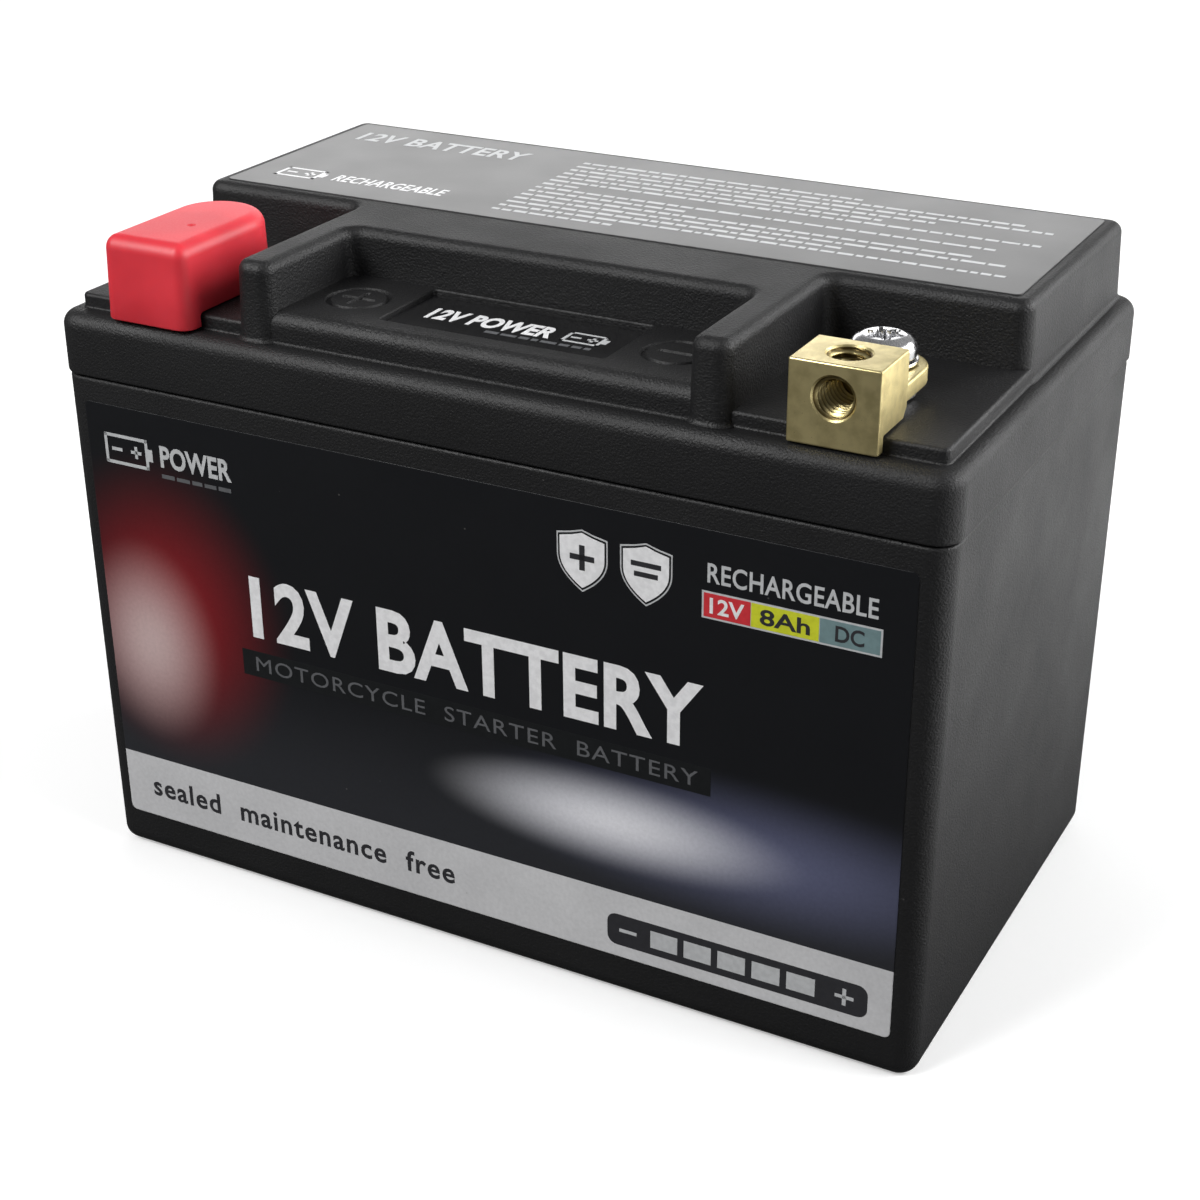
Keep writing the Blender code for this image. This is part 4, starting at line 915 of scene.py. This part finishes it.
def frontLabel():
    f = filmSizes
    film = filmSheet("frontFilm", boxCorners(-f["frontX"], f["frontX"], f["frontLow"], f["frontHigh"]), 1.0,
        onFront, finishes["frontFilm"], filmLift)
    place(film, "battery", "front_label_film", "front_label")
    w = frontWords
    ride(printText("titlePrint", w["title"], w["titleBox"], onFront, inks["white"], inkTwo, 0.03, 1.05))
    ride(printBars("stripPrint", [w["stripPanel"]], onFront, inks["strip"], inkOne))
    ride(printText("stripWords", w["strip"], w["stripBox"], onFront, inks["grey"], inkTwo, 0.0, 1.1))
    ride(printText("kindWords", w["kind"], w["kindBox"], onFront, inks["silver"], inkOne, 0.015, 1.05))
    ride(printText("bandWords", w["band"], w["bandBox"], onFront, inks["dark"], inkOne, 0.02, 1.12))
    ride(printBars("chipEdge", [(38.8, 65.9, 69.7, 74.0)], onFront, inks["silver"], inkOne))
    for words, low, high, back, front in chips:
        ride(printBars("chip" + words, [(low, high, 70.0, 73.7)], onFront, inks[back], inkTwo))
        margin = (high - low) * (0.13 if len(words) == 3 else 0.26)
        ride(printText("chipWords" + words, words, (low + margin, high - margin, 70.6, 73.1), onFront,
            inks[front], inkThree, 0.02))


# Shield outline: straight shoulders, and sides that close to a point by x = w (1 - s^2.2), with s from 0 at
# the waist to 1 at the tip.
def shieldOutline(middle, top, tip, half):
    s = np.linspace(0, 1, 14)
    waist = top - (top - tip) * 0.42
    right = np.column_stack([middle + half * (1 - s ** 2.2), waist + (tip - waist) * s])
    left = np.column_stack([2 * middle - right[::-1, 0], right[::-1, 1]])[1:]
    shoulders = np.array([(middle - half, top - 1.0), (middle - half * 0.45, top - 0.55), (middle, top),
        (middle + half * 0.45, top - 0.55), (middle + half, top - 1.0)])
    ring = np.vstack([right, left, shoulders])
    return ring[::-1]


def shields():
    for number, middle in enumerate((19.7, 30.0), 1):
        for part, grow, tint, lift in (("Edge", 0.0, "silver", inkOne), ("Gap", 0.22, "strip", inkTwo),
            ("Field", 0.5, "white", inkThree)):
            outline = shieldOutline(middle, 79.3 - grow, 69.4 + grow * 1.3, 4.15 - grow)
            ride(printOutline(f"shield{part}{number}", outline, onFront, inks[tint], lift))
        bars = [(middle - 2.4, middle + 2.4, 75.5, 76.3), (middle - 1.9, middle + 1.9, 73.9, 74.7)]
        if number == 1:
            bars = [(middle - 2.0, middle + 2.0, 74.4, 75.3), (middle - 0.45, middle + 0.45, 72.85, 76.85)]
        ride(printBars(f"shieldMark{number}", bars, onFront, inks["dark"], inkThree + 0.02))


# Plain cell symbol: framed body with a nub and a plus and minus inside it.
def cellSymbol(name, box, onSurface, material, lift, thick):
    lowU, highU, lowV, highV = box
    middleV = (lowV + highV) / 2
    height = highV - lowV
    bars = frameBars(lowU, highU, lowV, highV, thick)
    bars.append((highU, highU + thick * 1.6, middleV - height * 0.2, middleV + height * 0.2))
    third = (highU - lowU) / 3.6
    reach = height * 0.2
    for centre, upright in ((lowU + third, False), (highU - third, True)):
        bars.append((centre - reach, centre + reach, middleV - thick / 2, middleV + thick / 2))
        if upright:
            bars.append((centre - thick / 2, centre + thick / 2, middleV - reach, middleV + reach))
    return printBars(name, bars, onSurface, material, lift)


# Charge gauge: a dark panel with five cells between a minus and a plus.
def chargeGauge():
    ride(printOutline("gaugePanel", roundedOutline(boxCorners(23.5, 66.8, 9.4, 15.1), 1.6, 0, 6, 0.2),
        onFront, inks["dark"], inkOne))
    cells = [(31.0 + 5.7 * k, 35.6 + 5.7 * k, 10.7, 13.8) for k in range(5)]
    ride(printBars("gaugeCells", cells, onFront, inks["silver"], inkTwo))
    marks = [(25.6, 28.6, 11.95, 12.55), (61.6, 64.6, 11.95, 12.55), (62.8, 63.4, 10.75, 13.75)]
    ride(printBars("gaugeMarks", marks, onFront, inks["silver"], inkTwo))


def cornerMark():
    ride(cellSymbol("cornerSymbol", (-67.2, -58.6, 73.4, 78.6), onFront, inks["silver"], inkOne, 0.55))
    ride(printText("cornerWords", "POWER", (-56.2, -42.4, 74.4, 78.2), onFront, inks["silver"], inkOne, 0.03,
        1.02))
    ride(printBars("cornerLines", greekedLines([(-56.2, -42.4, 72.6)], 0.75, 4, (1.0, 2.6), 0.45), onFront,
        inks["grey"], inkOne))


frontLabel()
shields()
chargeGauge()
cornerMark()
print("front label printed")

topLines = {
    "left": -20.3, "first": 32.3, "pitch": 2.4, "height": 1.0,
    "ends": (31.0, 59.0, 64.3, 46.0, 38.0, 64.6, -13.0, 60.0, 9.0, 57.0, 64.0, 38.0, 64.6, 1.3),
}


def topLabel():
    f, t = filmSizes, topLines
    film = filmSheet("topFilmSheet", boxCorners(-f["topX"], f["topX"], f["topFront"], f["topBack"]), 1.0,
        onTop, finishes["topFilm"], filmLift)
    place(film, "battery", "top_label_film", "top_label")
    lines = [(t["left"], end, t["first"] - t["pitch"] * k - 0.6) for k, end in enumerate(t["ends"])]
    ride(printBars("topLines", greekedLines(lines, t["height"], 11), onTop, inks["silver"], inkOne),
        "top_label_film")
    ride(printText("topTitle", "12V BATTERY", (-65.0, -31.0, 28.4, 33.6), onTop, inks["silver"], inkOne,
        0.025, 1.05), "top_label_film")
    ride(cellSymbol("topSymbol", (-64.0, -56.0, 2.2, 7.2), onTop, inks["white"], inkOne, 0.6),
        "top_label_film")
    ride(printText("topWords", "RECHARGEABLE", (-53.0, -31.5, 3.0, 6.6), onTop, inks["white"], inkOne, 0.02,
        1.05), "top_label_film")


def insetLabel():
    f = filmSizes
    film = filmSheet("insetFilmSheet", boxCorners(-f["insetX"], f["insetX"], f["insetFront"], f["insetBack"]),
        0.4, onInset, finishes["insetFilm"], 0.2)
    place(film, "battery", "inset_label_film", "inset_label")
    ride(printText("insetWords", "12V POWER", (-14.6, 6.8, -29.6, -24.9), onInset, inks["white"], 0.23, 0.04,
        1.04), "inset_label_film")
    ride(cellSymbol("insetSymbol", (8.6, 14.8, -29.4, -25.2), onInset, inks["silver"], 0.23, 0.5),
        "inset_label_film")
    ride(printBars("insetLines", greekedLines([(-3.0, 14.6, -31.4)], 0.9, 7, (1.0, 3.0), 0.5), onInset,
        inks["grey"], 0.23), "inset_label_film")


topLabel()
insetLabel()
print("top and inset labels printed")


# A (y, z) section carried along X: grid[k, i] = (x_k, y_i, z_i), with its end rings drawn in to soften the
# side edges.
def sectionAlongX(name, corners, radii, middle, half, edge, material=None):
    angles = np.linspace(0, math.pi / 2, 4)
    insets = edge * (1 - np.sin(angles))
    xs = half - edge * (1 - np.cos(angles))
    insets = np.concatenate([insets, insets[::-1]])
    xs = np.concatenate([middle - half + edge * (1 - np.cos(angles)), (middle + xs)[::-1]])
    rings = [roundedOutline(corners, radii, inset, 4, 0.12) for inset in insets]
    grid = np.stack([np.column_stack([np.full(len(ring), x), ring]) for x, ring in zip(xs, rings)])
    return pieceFrom(name, grid, material)


def terminalBlock(name, x):
    b = blockSizes
    section = [
        (b["front"], b["lip"]), (b["lipBack"], b["lip"]), (b["lipBack"], b["base"]),
        (b["back"] - 1.2, b["base"]),
        (b["back"], b["base"] + 1.4), (b["back"], b["top"]), (b["front"], b["top"]),
    ]
    block = sectionAlongX(name, section, [0.25, 0.2, 0.1, 0.4, 0.3, 0.28, 0.28], x, b["half"], b["edge"],
        finishes["brass"])
    reach = 6.3
    corners = boxCorners(x - reach, x + reach, b["back"] - 2.0, blockHigh[1])

    def tangOutline(inset):
        return roundedOutline(corners, [0.5, 0.5, reach * 0.995, reach * 0.995], inset, 16, 0.0)

    soft = 0.45
    angles = np.linspace(0, math.pi / 2, 5)
    levels = [(tangOutline(soft * (1 - math.sin(a))),
        b["tangLow"] + soft * (1 - math.cos(a))) for a in angles]
    levels += [(tangOutline(soft * (1 - math.cos(a))),
        b["tangHigh"] - soft * (1 - math.sin(a))) for a in angles]
    tang = pieceFrom("tangTool", ringStack(levels), finishes["brass"])
    carve(block, [tang], "UNION")
    rod = threadedRod(0.0, b["boreEnd"] - b["front"] + 0.6, b["threadMean"], b["threadDepth"],
        b["threadPitch"], turnSteps=60)
    r = np.hypot(rod[..., 0], rod[..., 1])
    depth = rod[..., 2] - 0.6
    grow = np.maximum(r, b["mouth"] - depth) / r
    bore = np.stack([x + rod[..., 1] * grow, b["front"] + depth, b["frontBoreZ"] + rod[..., 0] * grow], -1)
    frontBore = pieceFrom("frontBoreTool", bore, finishes["brass"])
    rod = threadedRod(b["frontBoreZ"], b["top"] + 0.6, b["threadMean"], b["threadDepth"], b["threadPitch"],
        b["mouth"], b["top"], 60)
    rod = rod + np.array([x, b["topBoreY"], 0.0])
    topBore = pieceFrom("topBoreTool", rod, finishes["brass"])
    hole = pieceFrom("tangHoleTool", lathe([(2.72, b["tangLow"] - 1), (2.72, b["tangHigh"] + 1)], (x, screwY),
        48), finishes["brass"])
    return carve(block, [frontBore, topBore, hole])


# Star of six lobes, r = m + d cos 6t, sunk into the head with walls that close slightly and a coned floor.
def starRecess(x, top, depth):
    t = np.linspace(0, 2 * math.pi, 120, endpoint=False)
    swing = 0.36 * np.tanh(2.2 * np.cos(6 * t)) / math.tanh(2.2)
    rows = []
    for share, z in ((0.1, top - depth - 0.45), (0.93, top - depth), (0.97, top - 0.35), (1.06, top + 0.02),
        (1.06, top + 1.0)):
        r = (2.3 + swing) * share
        rows.append(np.column_stack([x + r * np.cos(t), screwY + r * np.sin(t), np.full(len(t), z)]))
    return pieceFrom("starTool", np.stack(rows), finishes["steel"])


def terminalScrew(name, x):
    head, top, tip = washerHigh[2] + 0.3, screwHigh[2], screwLow[2]
    points = np.array([(0.02, top), (3.0, top), (4.25, top - 0.62), (4.75, top - 1.7), (4.75, head),
        (2.42, head)])
    headPath = roundedPath(points, [0.1, 1.2, 1.6, 0.5, 0.22, 0.1], 5, 0.05)[::-1]
    headPiece = pieceFrom(name, lathe(headPath, (x, screwY), 96), finishes["steel"])
    carve(headPiece, [starRecess(x, top, 1.55)])
    shank = threadedRod(tip, head + 0.2, 2.22, 0.18, 0.8, turnSteps=40)
    r = np.hypot(shank[..., 0], shank[..., 1])
    limit = np.minimum(1.75 + (shank[..., 2] - tip) * 0.9, 2.4)
    shrink = np.minimum(r, limit) / r
    shank = shank * np.stack([shrink, shrink, np.ones_like(r)], -1) + np.array([x, screwY, 0.0])
    return carve(headPiece, [pieceFrom("shankTool", shank, finishes["steel"])], "UNION")


def turnedRing(name, section, radii, x, material):
    outline = roundedOutline(section, radii, 0.0, 4, 0.06)
    return pieceFrom(name, lathe(outline, (x, screwY), 80), material, wrap=True)


def bush(name, x):
    low, high = insertLow[2], insertHigh[2]
    pad = lidSizes["bayPad"] + 0.3
    flangeTop = low + 3.0 + 1.6
    section = [(2.72, low), (4.2, low), (4.2, low + 3.0), (6.4, low + 3.0), (6.4, flangeTop),
        (4.2, flangeTop), (4.2, pad), (5.0, pad), (5.0, high), (2.72, high)]
    return turnedRing(name, section, 0.18, x, finishes["bushSteel"])


for word, side in (("positive", -1), ("negative", 1)):
    x = side * terminalX
    place(terminalBlock(word + "Block", x), "battery", "terminal_brass", word + "_block")
    place(terminalScrew(word + "Screw", x), word + "_screw_body", "plated_steel", word + "_screw")
    section = [(2.72, washerLow[2]), (5.0, washerLow[2]), (5.0, washerHigh[2]), (2.72, washerHigh[2])]
    place(turnedRing(word + "Washer", section, 0.12, x, finishes["steel"]), word + "_washer_body",
        "plated_steel", word + "_washer")
    place(bush(word + "Bush", x), "battery", "plated_steel", word + "_insert")
print("terminals made")


capSizes = {
    "half": 8.1, "front": capLow[1], "back": capHigh[1], "corner": 2.4, "fillet": 2.3, "draft": 0.45,
    "wall": 1.2, "top": capHigh[2], "low": capLow[2], "step": 100.2, "stepY": -39.8,
    "dimple": (-54.6, -32.4), "dimpleRadius": 0.75,
}


def terminalCap():
    c = capSizes
    x = -terminalX
    corners = boxCorners(x - c["half"], x + c["half"], c["front"], c["back"])

    def outlineAt(inset):
        return roundedOutline(corners, [c["corner"], c["corner"], c["half"] * 0.985, c["half"] * 0.985],
            inset, 16, 0.0)

    def drafted(z):
        return c["draft"] * (z - c["low"]) / (c["top"] - c["low"])

    inner = c["top"] - c["wall"]
    levels = [(outlineAt(c["wall"] + c["draft"] * 0.5), inner), (outlineAt(c["wall"]), c["low"]),
        (outlineAt(0.25), c["low"])]
    levels += [(outlineAt(0.08), c["low"] + 0.08), (outlineAt(0.0), c["low"] + 0.25),
        (outlineAt(drafted(103)), 103.0)]
    shoulder = c["top"] - c["fillet"]
    levels += roundTop(outlineAt, c["top"] - 0.06, c["fillet"], drafted(shoulder), 12, 0.5)
    levels.append((outlineAt(c["half"] * 0.62), c["top"]))
    cap = pieceFrom("redCap", ringStack(levels), finishes["cap"], sharp=50)
    y = c["stepY"]
    step = sectionAlongX("stepTool", [(y, c["low"] - 1), (c["back"] + 1, c["low"] - 1),
        (c["back"] + 1, c["step"]), (y, c["step"])], [0.1, 0.1, 0.1, 0.7], x, c["half"] + 1, 0.1,
        finishes["cap"])
    dx, dy = c["dimple"]
    r = c["dimpleRadius"]
    profile = [(0.05, c["top"] - 0.5), (r * 0.55, c["top"] - 0.42), (r * 0.9, c["top"] - 0.2),
        (r * 1.1, c["top"] + 0.5)]
    dimple = pieceFrom("dimpleTool", lathe(profile, (dx, dy), 40), finishes["cap"])
    return carve(cap, [step, dimple], sharp=50)


place(terminalCap(), "cap", "cap_rubber", "terminal_cap")
print("cap made")


# Foam block in a node's box: rings of a rounded outline whose inset and height follow a soft edge, with the
# broad faces slightly crowned.
def foamBlock(name, node, slotName="foam", edge=0.8, crown=0.12):
    low, high = nodeBox(node)
    corners = boxCorners(low[0], high[0], low[1], high[1])
    reach = min(high[0] - low[0], high[1] - low[1]) / 2
    edge = min(edge, (high[2] - low[2]) * 0.4, reach * 0.4)
    corner = min(3.6, reach * 0.9)

    def outlineAt(inset):
        return roundedOutline(corners, corner, inset, 6, 0.0)

    angles = np.linspace(0, math.pi / 2, 5)
    crown = min(crown, edge * 0.3)
    ease = reach * 0.5
    levels = [(outlineAt(ease), low[2]), (outlineAt(edge + 0.2), low[2] + crown)]
    levels += [(outlineAt(edge * (1 - math.sin(a))),
        low[2] + crown + (edge - crown) * (1 - math.cos(a))) for a in angles]
    levels += [(outlineAt(edge * (1 - math.cos(a))),
        high[2] - crown - (edge - crown) * (1 - math.sin(a))) for a in angles]
    levels += [(outlineAt(edge + 0.2), high[2] - crown), (outlineAt(ease), high[2])]
    obj = pieceFrom(name, ringStack(levels), finishes["foam"], sharp=70)
    return place(obj, "battery", slotName, node)


for name, node in (("baseFoam", "base_foam"), ("leftEndFoam", "left_end_foam"),
    ("rightEndFoam", "right_end_foam"), ("topFoam", "top_foam")):
    foamBlock(name, node)

carriedFinishes = (
    ("cell_", "cellSleeve"), ("lower_tray", "trayPlastic"), ("upper_tray", "trayPlastic"),
    ("standoff_", "trayPlastic"),
    ("lower_link", "nickelStrip"), ("middle_link", "nickelStrip"), ("positive_plate", "nickelStrip"),
    ("negative_plate", "nickelStrip"),
    ("positive_strap", "copperStrap"), ("negative_strap", "copperStrap"), ("balance_board", "board"),
    ("balance_chip", "chipPlastic"),
    ("transistor_", "chipPlastic"), ("sense_connector", "connectorPlastic"), ("sense_wire_", "wireJacket"),
    ("board_screw_", "bushSteel"),
    ("positive_seal", "sealRubber"), ("negative_seal", "sealRubber"),
)
for name, obj in nodes.items():
    for prefix, look in carriedFinishes:
        if name.startswith(prefix):
            obj.data.materials.clear()
            obj.data.materials.append(finishes[look])
print("inner pieces finished")


stageLook = {
    "floor": (0.88, 0.88, 0.88), "nearBounce": (0.08, 0.08, 0.08), "farBounce": (0.85, 0.85, 0.85),
    "lift": (0.22, 0.22, 0.22), "skyDark": 0.08, "skyBright": 0.40,
}


# Floor: a square sheet, z falling by 1 mm times (distance / 2 m) squared. To the camera it is evenly pale;
# the light it gives back to the battery grows with 0.8 x + 0.6 y.
def floorSheet():
    material, tree, shader = newMaterial("paleFloor")
    where = put(tree, "TexCoord").outputs["Object"]
    noise = noiseAt(tree, where, 3.0, 3.0)
    shade = mixColour(tree, remap(tree, noise, 0.3, 0.7), stageLook["floor"],
        tuple(c * 0.985 for c in stageLook["floor"]))
    seen = put(tree, "LightPath").outputs["Is Camera Ray"]
    part = put(tree, "SeparateXYZ", {0: where}).outputs
    across = calc(tree, "ADD", calc(tree, "MULTIPLY", part["X"], 0.8), calc(tree, "MULTIPLY", part["Y"], 0.6))
    bounce = mixColour(tree, remap(tree, across, 0.04, 0.20), stageLook["nearBounce"], stageLook["farBounce"])
    far = remap(tree, put(tree, "VectorMath", {0: where}, operation="LENGTH").outputs["Value"], 0.35, 1.1)
    near = mixColour(tree, far, shade, (0.0, 0.0, 0.0))
    glow = mixColour(tree, far, stageLook["lift"], (1.0, 1.0, 1.0))
    tree.links.new(mixColour(tree, seen, bounce, near), shader.inputs["Base Color"])
    tree.links.new(mixColour(tree, seen, (0.0, 0.0, 0.0), glow), shader.inputs["Emission Color"])
    shader.inputs["Emission Strength"].default_value = 1.0
    tree.links.new(remap(tree, noise, 0.3, 0.7, 0.75, 0.85, "LINEAR"), shader.inputs["Roughness"])
    side = np.linspace(-4000, 4000, 41)
    x, y = np.meshgrid(side, side)
    z = -0.02 - (x ** 2 + y ** 2) / 4e6
    points = np.stack([x, y, z], -1)
    index = np.arange(points.shape[0] * points.shape[1]).reshape(points.shape[:2])
    quads = np.stack([index[:-1, :-1], index[:-1, 1:], index[1:, 1:], index[1:, :-1]], -1).reshape(-1, 4)
    obj = meshPiece("paleFloorSheet", points.reshape(-1, 3), quads.tolist(), material, 60)
    return obj


def softLight(name, place, aim, size, power):
    data = bpy.data.lights.new(name, "AREA")
    data.shape = "RECTANGLE"
    data.size, data.size_y = size
    data.energy = power
    light = bpy.data.objects.new(name, data)
    bpy.context.scene.collection.objects.link(light)
    light.location = place
    light.rotation_euler = (Vector(aim) - Vector(place)).to_track_quat("-Z", "Y").to_euler()
    return light


floorSheet()
world = bpy.data.worlds.new("paleStudio")
bpy.context.scene.world = world
world.use_nodes = True
# The sky is brightest behind the battery: strength follows 0.85 y + 0.25 z + 0.3 x of the direction, and is
# 1 to the camera.
skyTree = world.node_tree
direction = put(skyTree, "SeparateXYZ", {0: put(skyTree, "TexCoord").outputs["Generated"]}).outputs
weighted = calc(skyTree, "ADD", calc(skyTree, "MULTIPLY", direction["Y"], 0.85),
    calc(skyTree, "MULTIPLY", direction["Z"], 0.25))
weighted = calc(skyTree, "ADD", weighted, calc(skyTree, "MULTIPLY", direction["X"], 0.3))
strength = remap(skyTree, weighted, -0.2, 0.8, stageLook["skyDark"], stageLook["skyBright"])
strength = calc(skyTree, "MAXIMUM", strength, put(skyTree, "LightPath").outputs["Is Camera Ray"])
skyTree.links.new(strength, skyTree.nodes["Background"].inputs[1])
skyTree.nodes["Background"].inputs[0].default_value = (1.0, 1.0, 1.0, 1.0)
aim = (0.0, 0.0, 0.05)
softLight("backLeft", (-0.50, 0.90, 0.38), aim, (1.0, 0.28), 1.9)
softLight("backRight", (0.70, 0.60, 0.45), aim, (0.7, 0.5), 7.0)
softLight("rightSide", (0.85, 0.10, 0.5), aim, (0.6, 0.6), 5.5)
softLight("leftFront", (-0.5, -0.7, 0.8), aim, (0.6, 0.6), 13.0)

# Camera: azimuth and elevation round the target, a slight roll, and a long lens.
view = {
    "target": (-0.41, 0.0, 44.86), "distance": 367.2, "azimuth": 27.98, "elevation": 25.98, "roll": -0.22,
    "lens": 64.91,
}


# back = (sin a cos e, -cos a cos e, sin e); the camera's own X and Y are turned about it by the roll
def studioCamera():
    azimuth, elevation, roll = (math.radians(view[key]) for key in ("azimuth", "elevation", "roll"))
    back = Vector((math.sin(azimuth) * math.cos(elevation), -math.cos(azimuth) * math.cos(elevation),
        math.sin(elevation)))
    right = Vector((0, 0, 1)).cross(back).normalized()
    up = back.cross(right)
    across = right * math.cos(roll) + up * math.sin(roll)
    upward = up * math.cos(roll) - right * math.sin(roll)
    camera = bpy.data.objects.new("studioCamera", bpy.data.cameras.new("studioCamera"))
    camera.data.lens = view["lens"]
    camera.data.sensor_width = 36.0
    camera.data.clip_start = 0.01
    camera.data.clip_end = 20.0
    spot = (Vector(view["target"]) + back * view["distance"]) * mm
    turn = Matrix((across, upward, back)).transposed().to_4x4()
    camera.matrix_world = Matrix.Translation(spot) @ turn
    bpy.context.scene.collection.objects.link(camera)
    bpy.context.scene.camera = camera


studioCamera()
bpy.context.scene.view_settings.view_transform = "Standard"
print("scene ready")
